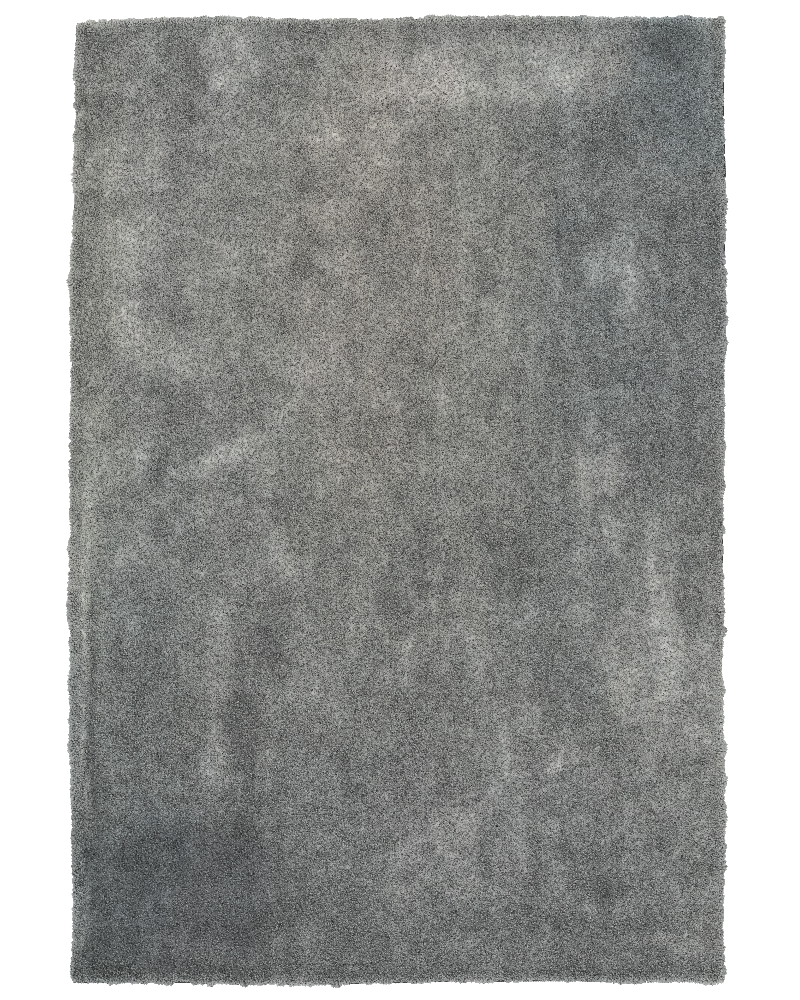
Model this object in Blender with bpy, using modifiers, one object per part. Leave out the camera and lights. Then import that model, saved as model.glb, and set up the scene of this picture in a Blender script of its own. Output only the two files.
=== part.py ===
"""A shag rug lying flat: a deep pile tufted through a backing cloth, with a bound edge.

Metres, +Z up. The floor is z = 0, the long side runs along Y, and the origin is on the floor
under the middle of the rug. Left, right, head and foot are the four edges seen from above,
with the head at +Y.
"""

import math
from collections import namedtuple

import bmesh
import bpy

# Driving dimensions
WIDTH = 1.328  # across the pile, at the widest place
LENGTH = 1.956  # along the pile, at the longest place
PILE_TOP = 0.028  # where the tips of the standing pile end, above the floor
BASE = 0.003  # thickness of the backing, and of the binding beside it
GAP = 0.0003  # between pieces that touch

# The pile's rim
OVERHANG = 0.003  # the pile reaches this far past the binding
SHOULDER = 0.024  # width over which the pile rounds down to its rim
RIM_HEIGHT = 0.009  # the pile is widest at this height above the floor
UNDERCUT = 0.003  # below that it turns back in by this much
CORNER = 0.016  # radius of the pile's corners, seen from above

# The bound edge
BINDING = 0.009  # width of the binding
BINDING_ROUND = 0.0008  # its edges are rounded by this much

# How finely the outline and the top are divided
RIM_LINES = (0, 0.003, 0.008, 0.016, 0.026, 0.042)  # grid lines in from each edge
FIELD_STEP = 0.05  # spacing of the grid lines between them
OUTLINE_STEP = 0.06  # spacing of the points round a flat piece
LEAST_STEP = 0.002  # none of them is nearer to a corner than this

# The edges aren't straight. Each row says how far in from the widest place the edge runs, and
# where along it: up from the middle on the two long sides, and right from the middle on the ends.
Edge = namedtuple("Edge", "along inset")

LEFT_EDGE = (
    Edge(along=-0.95, inset=0.0055),
    Edge(along=-0.87, inset=0.0085),
    Edge(along=-0.59, inset=0.0060),
    Edge(along=-0.52, inset=0.0025),
    Edge(along=-0.28, inset=0.0025),
    Edge(along=-0.22, inset=0.0),
    Edge(along=0.02, inset=0.0020),
    Edge(along=0.26, inset=0.0040),
    Edge(along=0.44, inset=0.0020),
    Edge(along=0.57, inset=0.0090),
    Edge(along=0.69, inset=0.0105),
    Edge(along=0.81, inset=0.0125),
    Edge(along=0.97, inset=0.0135),
)
RIGHT_EDGE = (
    Edge(along=-0.96, inset=0.0040),
    Edge(along=-0.89, inset=0.0055),
    Edge(along=-0.70, inset=0.0025),
    Edge(along=-0.53, inset=0.0020),
    Edge(along=-0.46, inset=0.0055),
    Edge(along=-0.34, inset=0.0075),
    Edge(along=-0.22, inset=0.0040),
    Edge(along=-0.10, inset=0.0060),
    Edge(along=0.08, inset=0.0040),
    Edge(along=0.27, inset=0.0030),
    Edge(along=0.39, inset=0.0),
    Edge(along=0.50, inset=0.0020),
    Edge(along=0.63, inset=0.0),
    Edge(along=0.81, inset=0.0040),
    Edge(along=0.97, inset=0.0045),
)
HEAD_EDGE = (
    Edge(along=-0.65, inset=0.0100),
    Edge(along=-0.56, inset=0.0070),
    Edge(along=-0.38, inset=0.0020),
    Edge(along=-0.32, inset=0.0030),
    Edge(along=-0.23, inset=0.0070),
    Edge(along=-0.02, inset=0.0055),
    Edge(along=0.10, inset=0.0005),
    Edge(along=0.23, inset=0.0),
    Edge(along=0.53, inset=0.0020),
    Edge(along=0.65, inset=0.0030),
)
FOOT_EDGE = (
    Edge(along=-0.65, inset=0.0025),
    Edge(along=-0.44, inset=0.0030),
    Edge(along=-0.28, inset=0.0005),
    Edge(along=-0.14, inset=0.0),
    Edge(along=0.0, inset=0.0025),
    Edge(along=0.11, inset=0.0050),
    Edge(along=0.33, inset=0.0065),
    Edge(along=0.47, inset=0.0045),
    Edge(along=0.55, inset=0.0065),
    Edge(along=0.65, inset=0.0030),
)

# Where the pile lies lower, stroked or trodden down: the middle of the place, its half length
# and half width, how many degrees its length is turned clockwise from Y, and its depth.
Dip = namedtuple("Dip", "x y half_length half_width turn depth")

DIPS = (
    Dip(x=-0.44, y=-0.79, half_length=0.20, half_width=0.22, turn=0, depth=0.0030),
    Dip(x=0.57, y=0.87, half_length=0.10, half_width=0.13, turn=20, depth=0.0025),
    Dip(x=-0.48, y=0.86, half_length=0.14, half_width=0.09, turn=60, depth=0.0020),
    Dip(x=-0.24, y=-0.24, half_length=0.20, half_width=0.07, turn=5, depth=0.0025),
    Dip(x=0.60, y=-0.20, half_length=0.25, half_width=0.06, turn=0, depth=0.0020),
    Dip(x=0.41, y=0.42, half_length=0.07, half_width=0.05, turn=-20, depth=0.0025),
    Dip(x=-0.48, y=0.04, half_length=0.10, half_width=0.06, turn=-40, depth=0.0020),
    Dip(x=0.05, y=-0.02, half_length=0.30, half_width=0.08, turn=10, depth=0.0015),
)

Finish = namedtuple("Finish", "color roughness")

PILE_YARN = Finish(color=(0.20, 0.205, 0.20), roughness=0.9)
BACKING_CLOTH = Finish(color=(0.055, 0.055, 0.052), roughness=0.95)
BINDING_YARN = Finish(color=(0.018, 0.018, 0.019), roughness=0.9)


def clear_scene():
    for obj in list(bpy.data.objects):
        bpy.data.objects.remove(obj, do_unlink=True)


def material(name, finish):
    made = bpy.data.materials.new(name)
    made.use_nodes = True
    shader = made.node_tree.nodes["Principled BSDF"]
    shader.inputs["Base Color"].default_value = (*finish.color, 1)
    shader.inputs["Roughness"].default_value = finish.roughness
    shader.inputs["Metallic"].default_value = 0.0
    return made


def inset_at(edge, along):
    """How far in the edge runs at this place, eased smoothly from row to row."""
    if along <= edge[0].along:
        return edge[0].inset
    for before, after in zip(edge, edge[1:]):
        if along <= after.along:
            part = (along - before.along) / (after.along - before.along)
            eased = part * part * (3 - 2 * part)
            return before.inset + (after.inset - before.inset) * eased
    return edge[-1].inset


def uneven(x, y):
    """A point of the exact rectangle, moved to where the real rug's edges leave it."""
    rightness = 0.5 + x / WIDTH
    upness = 0.5 + y / LENGTH
    x_moved = x + inset_at(LEFT_EDGE, y) * (1 - rightness) - inset_at(RIGHT_EDGE, y) * rightness
    y_moved = y + inset_at(FOOT_EDGE, x) * (1 - upness) - inset_at(HEAD_EDGE, x) * upness
    return x_moved, y_moved


def nearness(distance, reach):
    """1 at an edge, falling evenly to 0 at reach from it."""
    return max(0.0, 1 - distance / reach)


def with_round_corner(x, y):
    """A point within CORNER of both edges of a corner, drawn into the corner's quarter circle."""
    a = nearness(WIDTH / 2 - abs(x), CORNER)
    b = nearness(LENGTH / 2 - abs(y), CORNER)
    if a == 0 or b == 0:
        return x, y
    a_round = a * math.sqrt(1 - b * b / 2)
    b_round = b * math.sqrt(1 - a * a / 2)
    return x - math.copysign((a - a_round) * CORNER, x), y - math.copysign((b - b_round) * CORNER, y)


def dip_at(x, y):
    total = 0.0
    for dip in DIPS:
        turn = math.radians(dip.turn)
        along = (y - dip.y) * math.cos(turn) + (x - dip.x) * math.sin(turn)
        across = (x - dip.x) * math.cos(turn) - (y - dip.y) * math.sin(turn)
        total += dip.depth * math.exp(-((along / dip.half_length) ** 2) - (across / dip.half_width) ** 2)
    return total


def pile_height(x, y):
    """The pile's top: level but for its dips, and rounding down over its shoulder to the rim."""
    a = nearness(WIDTH / 2 - abs(x), SHOULDER)
    b = nearness(LENGTH / 2 - abs(y), SHOULDER)
    down = 1 - math.sqrt(max(0.0, 1 - a * a - b * b + a * a * b * b))
    top = PILE_TOP - dip_at(x, y)
    return top - (top - RIM_HEIGHT) * down


def pile_point(x, y):
    """Where the pile's top has the point that is at x, y on the exact rectangle."""
    return *uneven(*with_round_corner(x, y)), pile_height(x, y)


def grid_lines(half):
    """Places from -half to half, close together near both ends."""
    field = half - RIM_LINES[-1]
    steps = math.ceil(2 * field / FIELD_STEP)
    low = [-half + inset for inset in RIM_LINES[:-1]]
    middle = [-field + 2 * field * i / steps for i in range(steps + 1)]
    return low + middle + [-place for place in reversed(low)]


def place_in_collection(obj, collection, finish):
    obj.data.materials.append(finish)
    collection.objects.link(obj)
    return obj


def make_pile(collection, yarn):
    """A grid shaped to the pile's top, with a skirt down to a flat underside."""
    across = grid_lines(WIDTH / 2)
    along = grid_lines(LENGTH / 2)
    columns = len(across) - 1
    rows = len(along) - 1
    bm = bmesh.new()
    bmesh.ops.create_grid(bm, x_segments=columns, y_segments=rows, size=0.5)
    for vert in bm.verts:
        column = round((vert.co.x + 0.5) * columns)
        row = round((vert.co.y + 0.5) * rows)
        vert.co = pile_point(across[column], along[row])
    rim = [edge for edge in bm.edges if edge.is_boundary]
    skirt = bmesh.ops.extrude_edge_only(bm, edges=rim)["geom"]
    hem = [item for item in skirt if isinstance(item, bmesh.types.BMVert)]
    shrink_x = 1 - 2 * UNDERCUT / WIDTH
    shrink_y = 1 - 2 * UNDERCUT / LENGTH
    for vert in hem:
        vert.co = (vert.co.x * shrink_x, vert.co.y * shrink_y, BASE + GAP)
    bmesh.ops.holes_fill(bm, edges=[edge for edge in bm.edges if edge.is_boundary])
    bmesh.ops.recalc_face_normals(bm, faces=bm.faces)
    mesh = bpy.data.meshes.new("pile")
    bm.to_mesh(mesh)
    bm.free()
    mesh.shade_smooth()
    mesh.set_sharp_from_angle(angle=math.radians(50))
    return place_in_collection(bpy.data.objects.new("pile", mesh), collection, yarn)


def places_between(start, end):
    """start, then each multiple of OUTLINE_STEP on the way to end, so that neighbours share them."""
    low, high = sorted((start, end))
    first = math.ceil((low + LEAST_STEP) / OUTLINE_STEP)
    last = math.floor((high - LEAST_STEP) / OUTLINE_STEP)
    shared = [n * OUTLINE_STEP for n in range(first, last + 1)]
    return [start] + (shared if start < end else shared[::-1])


def flat_piece(name, collection, finish, x_range, y_range):
    """A flat piece of the base: a part of the exact rectangle, with the rug's uneven edges."""
    (x0, x1), (y0, y1) = x_range, y_range
    rectangle = [(x, y0) for x in places_between(x0, x1)]
    rectangle += [(x1, y) for y in places_between(y0, y1)]
    rectangle += [(x, y1) for x in places_between(x1, x0)]
    rectangle += [(x0, y) for y in places_between(y1, y0)]
    outline = [uneven(x, y) for x, y in rectangle]
    curve = bpy.data.curves.new(name, "CURVE")
    curve.dimensions = "2D"
    curve.fill_mode = "BOTH"
    curve.extrude = BASE / 2
    spline = curve.splines.new("POLY")
    spline.points.add(len(outline) - 1)
    for point, (x, y) in zip(spline.points, outline):
        point.co = (x, y, 0, 1)
    spline.use_cyclic_u = True
    piece = bpy.data.objects.new(name, curve)
    piece.location.z = BASE / 2
    return place_in_collection(piece, collection, finish)


def round_edges(piece, radius):
    """Rounds a flat piece's long edges, once its caps are welded to its sides."""
    weld = piece.modifiers.new("weld caps", "WELD")
    weld.merge_threshold = 0.00001
    bevel = piece.modifiers.new("rounded edges", "BEVEL")
    bevel.width = radius
    bevel.segments = 2
    bevel.limit_method = "ANGLE"
    bevel.angle_limit = math.radians(50)


def make_base(collection, cloth, yarn):
    """The backing, and the four lengths of binding round it, butted at the corners."""
    outer_x = WIDTH / 2 - OVERHANG
    outer_y = LENGTH / 2 - OVERHANG
    inner_x = outer_x - BINDING
    inner_y = outer_y - BINDING
    flat_piece(
        "backing",
        collection,
        cloth,
        (-inner_x + GAP, inner_x - GAP),
        (-inner_y + GAP, inner_y - GAP),
    )
    whole_length = (-outer_y, outer_y)
    between_sides = (-inner_x + GAP, inner_x - GAP)
    binding = (
        ("binding_left", (-outer_x, -inner_x), whole_length),
        ("binding_right", (inner_x, outer_x), whole_length),
        ("binding_head", between_sides, (inner_y, outer_y)),
        ("binding_foot", between_sides, (-outer_y, -inner_y)),
    )
    for name, x_range, y_range in binding:
        round_edges(flat_piece(name, collection, yarn, x_range, y_range), BINDING_ROUND)


def main():
    clear_scene()
    rug = bpy.data.collections.new("shag rug")
    bpy.context.scene.collection.children.link(rug)
    make_base(rug, material("backing cloth", BACKING_CLOTH), material("binding yarn", BINDING_YARN))
    make_pile(rug, material("pile yarn", PILE_YARN))


main()
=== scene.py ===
# %% [markdown]
# # A shag rug, looked at from straight above
#
# This lesson dresses a plain model of a rug. The model already has the rug's true size: a backing cloth,
# four lengths of binding and one solid as big as the whole pile. What it lacks is everything that makes a
# shag look soft, so the cells below grow more than 150,000 tufts of yarn in the place of that one solid, sew
# a yarn edge over the binding and weave the backing. All lengths are in metres unless a name says otherwise.
#
# The first cell loads the model and keeps its parts by name.

# %% Load the model
import math
from collections import namedtuple

import bmesh
import bpy
import numpy as np
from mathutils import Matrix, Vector
from mathutils.bvhtree import BVHTree


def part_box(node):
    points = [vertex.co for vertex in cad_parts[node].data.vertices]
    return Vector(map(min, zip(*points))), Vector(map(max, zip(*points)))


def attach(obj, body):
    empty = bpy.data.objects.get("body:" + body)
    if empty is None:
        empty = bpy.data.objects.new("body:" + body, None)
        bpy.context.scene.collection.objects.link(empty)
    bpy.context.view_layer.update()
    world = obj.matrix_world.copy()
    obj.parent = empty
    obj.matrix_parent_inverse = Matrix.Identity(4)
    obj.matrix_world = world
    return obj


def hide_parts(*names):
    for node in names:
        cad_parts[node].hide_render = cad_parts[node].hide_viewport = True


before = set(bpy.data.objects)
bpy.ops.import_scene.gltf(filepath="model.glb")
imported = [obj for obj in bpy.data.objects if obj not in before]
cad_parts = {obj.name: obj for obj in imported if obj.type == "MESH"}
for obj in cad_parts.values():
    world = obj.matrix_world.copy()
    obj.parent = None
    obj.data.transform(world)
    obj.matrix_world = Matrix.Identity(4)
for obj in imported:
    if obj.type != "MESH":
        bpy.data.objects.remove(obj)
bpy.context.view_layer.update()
print("nodes:", ", ".join(sorted(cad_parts)))

# %% [markdown]
# ## The camera
#
# A rug is photographed like a document: from right above its middle, so that its edges stay parallel. A
# long lens far away keeps the near pile from looking bigger than the far backing. The picture is 0.8 times
# as wide as it is tall, and 2.02 m of floor fits in its height.

# %% Hang the camera above the rug
PICTURE_HEIGHT = 2.02
CAMERA_HEIGHT = 7.0
FILM_HEIGHT_MM = 36.0
PICTURE_MIDDLE = (0.0056, 0.001)

camera_data = bpy.data.cameras.new("camera")
camera_data.sensor_width = FILM_HEIGHT_MM
camera_data.lens = FILM_HEIGHT_MM * CAMERA_HEIGHT / PICTURE_HEIGHT
camera_data.clip_start = 0.5
camera_data.clip_end = 60.0
camera = bpy.data.objects.new("camera", camera_data)
camera.location = (*PICTURE_MIDDLE, CAMERA_HEIGHT)
bpy.context.scene.collection.objects.link(camera)
bpy.context.scene.camera = camera
print(f"lens of {camera_data.lens:.0f} mm, {CAMERA_HEIGHT} m up")

# %% [markdown]
# ## Floor and light
#
# The rug lies on a plain white floor in soft light. A bright sky all round fills every gap between the
# tufts a little, and a wide sun, high and to the upper left, gives each tuft a lighter and a darker side.
# The rug throws no shadow that one could see, as on a light table, so the floor also glows a little and
# stays white right up to the pile. The Standard view transform leaves the greys of the yarn as they are,
# where a film-like one would wash them out. Without denoising, and with a narrow filter for each pixel, the
# single tufts stay grains; a smoother picture would turn them into felt.

# %% Lay the floor and light it
FLOOR_SIZE = 24.0
FLOOR_DROP = 0.0002
FLOOR_WHITE = 0.90
FLOOR_GLOW = 0.6
SKY_STRENGTH = 1.0
SUN_STRENGTH = 1.5
SUN_WIDTH = math.radians(50)
SUN_TILT = (math.radians(24), math.radians(-22), 0.0)

bpy.ops.mesh.primitive_plane_add(size=FLOOR_SIZE, location=(0, 0, -FLOOR_DROP))
floor = bpy.context.object
floor.name = "floor"


def principled(name):
    """A new node material, with its shader and its tree."""
    material = bpy.data.materials.new(name)
    material.use_nodes = True
    return material, material.node_tree, material.node_tree.nodes["Principled BSDF"]


def set_inputs(node, values):
    """Give each named input of a node its value."""
    for name, value in values.items():
        node.inputs[name].default_value = value


floor_paint, _, floor_shader = principled("floor_paint")
set_inputs(floor_shader, {"Base Color": (FLOOR_WHITE, FLOOR_WHITE, FLOOR_WHITE, 1), "Roughness": 0.9,
                          "Specular IOR Level": 0.1, "Emission Color": (1, 1, 1, 1),
                          "Emission Strength": FLOOR_GLOW})
floor.data.materials.append(floor_paint)

sky = bpy.data.worlds.new("sky")
sky.use_nodes = True
set_inputs(sky.node_tree.nodes["Background"], {"Color": (1, 1, 1, 1), "Strength": SKY_STRENGTH})
bpy.context.scene.world = sky

sun_data = bpy.data.lights.new("sun", "SUN")
sun_data.energy = SUN_STRENGTH
sun_data.angle = SUN_WIDTH
sun = bpy.data.objects.new("sun", sun_data)
sun.rotation_euler = SUN_TILT
bpy.context.scene.collection.objects.link(sun)

bpy.context.scene.view_settings.view_transform = "Standard"
bpy.context.scene.cycles.use_denoising = False
bpy.context.scene.cycles.filter_width = 0.7
floor_light = SKY_STRENGTH + SUN_STRENGTH * math.cos(SUN_TILT[0]) * math.cos(SUN_TILT[1]) / math.pi
print(f"the floor shines with {FLOOR_WHITE * floor_light + FLOOR_GLOW:.2f}, and 1 is already white")

# %% [markdown]
# ## The outline
#
# No rug is a true rectangle. The model's pile has the real one's slightly bowed sides, so the tufts borrow
# its outline: they are laid out on an exact rectangle, where rows are easy to count, and a last step pushes
# each point to where the real edge is. The widest line of the pile, its rim, gives the four edges; the
# round corners are left out of them.

# %% Read the edges of the pile
def points_of(mesh):
    """The points of a mesh, one in each row."""
    points = np.empty(3 * len(mesh.vertices))
    mesh.vertices.foreach_get("co", points)
    return points.reshape(-1, 3)


pile_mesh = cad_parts["pile"].data
pile_points = points_of(pile_mesh)

X, Y = 0, 1
PILE_TOP = pile_points[:, 2].max()
RIM_HEIGHT = pile_points[pile_points[:, 0].argmax(), 2]
WIDTH = 1.328
LENGTH = 1.956
CORNER_ROOM = 0.020
EDGE_BAND = 0.035
SAME_HEIGHT = 1e-4
RIM_DECIMALS = 5

rim = pile_points[abs(pile_points[:, 2] - RIM_HEIGHT) < SAME_HEIGHT]
rim = np.unique(rim.round(RIM_DECIMALS), axis=0)


def edge_line(along, across, side):
    """The places along one edge of the rim, and how far out the rim lies at each."""
    half_run = (LENGTH if along == Y else WIDTH) / 2 - CORNER_ROOM
    half_span = (WIDTH if along == Y else LENGTH) / 2
    there = (side * rim[:, across] > half_span - EDGE_BAND) & (abs(rim[:, along]) < half_run)
    points = rim[there]
    points = points[points[:, along].argsort()]
    return points[:, along], points[:, across]


left_edge = edge_line(Y, X, -1)
right_edge = edge_line(Y, X, 1)
foot_edge = edge_line(X, Y, -1)
head_edge = edge_line(X, Y, 1)


def uneven(points):
    """Points of the exact rectangle, moved to the real outline. Heights stay."""
    moved = points.copy()
    x, y = points[:, 0], points[:, 1]
    rightness = x / WIDTH + 0.5
    headness = y / LENGTH + 0.5
    inset_left = np.interp(y, *left_edge) + WIDTH / 2
    inset_right = WIDTH / 2 - np.interp(y, *right_edge)
    inset_foot = np.interp(x, *foot_edge) + LENGTH / 2
    inset_head = LENGTH / 2 - np.interp(x, *head_edge)
    moved[:, 0] += inset_left * (1 - rightness) - inset_right * rightness
    moved[:, 1] += inset_foot * (1 - headness) - inset_head * headness
    return moved


print(f"rim at {1000 * RIM_HEIGHT:.0f} mm, top at {1000 * PILE_TOP:.0f} mm,",
      "edge points:", [len(e[0]) for e in (left_edge, right_edge, foot_edge, head_edge)])

# %% [markdown]
# ## Chance, the same each time
#
# Handmade softness needs a lot of small chance, but the rug should come out the same on every run. So each
# use of chance has its own seed. A drift is a smooth random field: random numbers on a lattice, blended
# between its points. It is written as its strength, the size of its cells across and along the rug, and its
# seed. Cells that are much longer than they are wide make streaks. `drifted` adds up the drifts it is given.

# %% Helpers for chance
Drift = namedtuple("Drift", "strength across along seed")

REACH = 1.1
LAST_CELL = 2.001
DRIFT_SPREAD = 1.5
TRIALS = 5000
TRIAL_REACH = 0.6


def chance(seed):
    """A seeded generator of random numbers."""
    return np.random.default_rng(seed)


def smooth_field(x, y, drift):
    """A smooth random field from about -1 to 1, with blobs as large as the cells of the drift."""
    columns = int(2 * REACH / drift.across) + 3
    rows = int(2 * REACH / drift.along) + 3
    lattice = chance(drift.seed).uniform(-1, 1, (rows, columns))
    across = np.clip((x + REACH) / drift.across, 0, columns - LAST_CELL)
    along = np.clip((y + REACH) / drift.along, 0, rows - LAST_CELL)
    i, j = across.astype(int), along.astype(int)
    a, b = across - i, along - j
    a = a * a * (3 - 2 * a)
    b = b * b * (3 - 2 * b)
    low = lattice[j, i] * (1 - a) + lattice[j, i + 1] * a
    high = lattice[j + 1, i] * (1 - a) + lattice[j + 1, i + 1] * a
    return DRIFT_SPREAD * (low * (1 - b) + high * b)


def drifted(x, y, *drifts):
    """The sum of some drifts at each place."""
    return sum(drift.strength * smooth_field(x, y, drift) for drift in drifts)


def trial_places(seed):
    """A few thousand places on the rug, to try a field at."""
    return chance(seed).uniform(-TRIAL_REACH, TRIAL_REACH, (2, TRIALS))


print(f"a drift varies by {drifted(*trial_places(1), Drift(1, 0.05, 0.05, 2)).std():.2f} about its middle")

# %% [markdown]
# ## Where the pile has been stroked
#
# A hand that strokes a shag leaves lighter and darker patches, because the yarn then lies with or against
# the light. The real rug has many. Each row below is one patch, placed on the picture: where its middle is
# and how far it reaches, in thousandths of the picture's height from its left and top edges, and how many of
# 255 steps it is lighter, or darker where the number is below zero. A sixth number says by how many degrees
# it is turned clockwise from the rug's length.
#
# No stroke of a hand ends in a clean curve, so two drifts feather the borders, a broad one and a fine one.
# The narrowest streaks get less of it, or it would tear them to pieces. `FORCE` makes all the strokes
# stronger or weaker together.

# %% The stroked patches
Stroke = namedtuple("Stroke", "x y half_width half_length lighter turn", defaults=[0])

# The strokes are painted light and shade: their steps go into the yarn's colour, for yarn that lies with or
# against the light.
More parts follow.
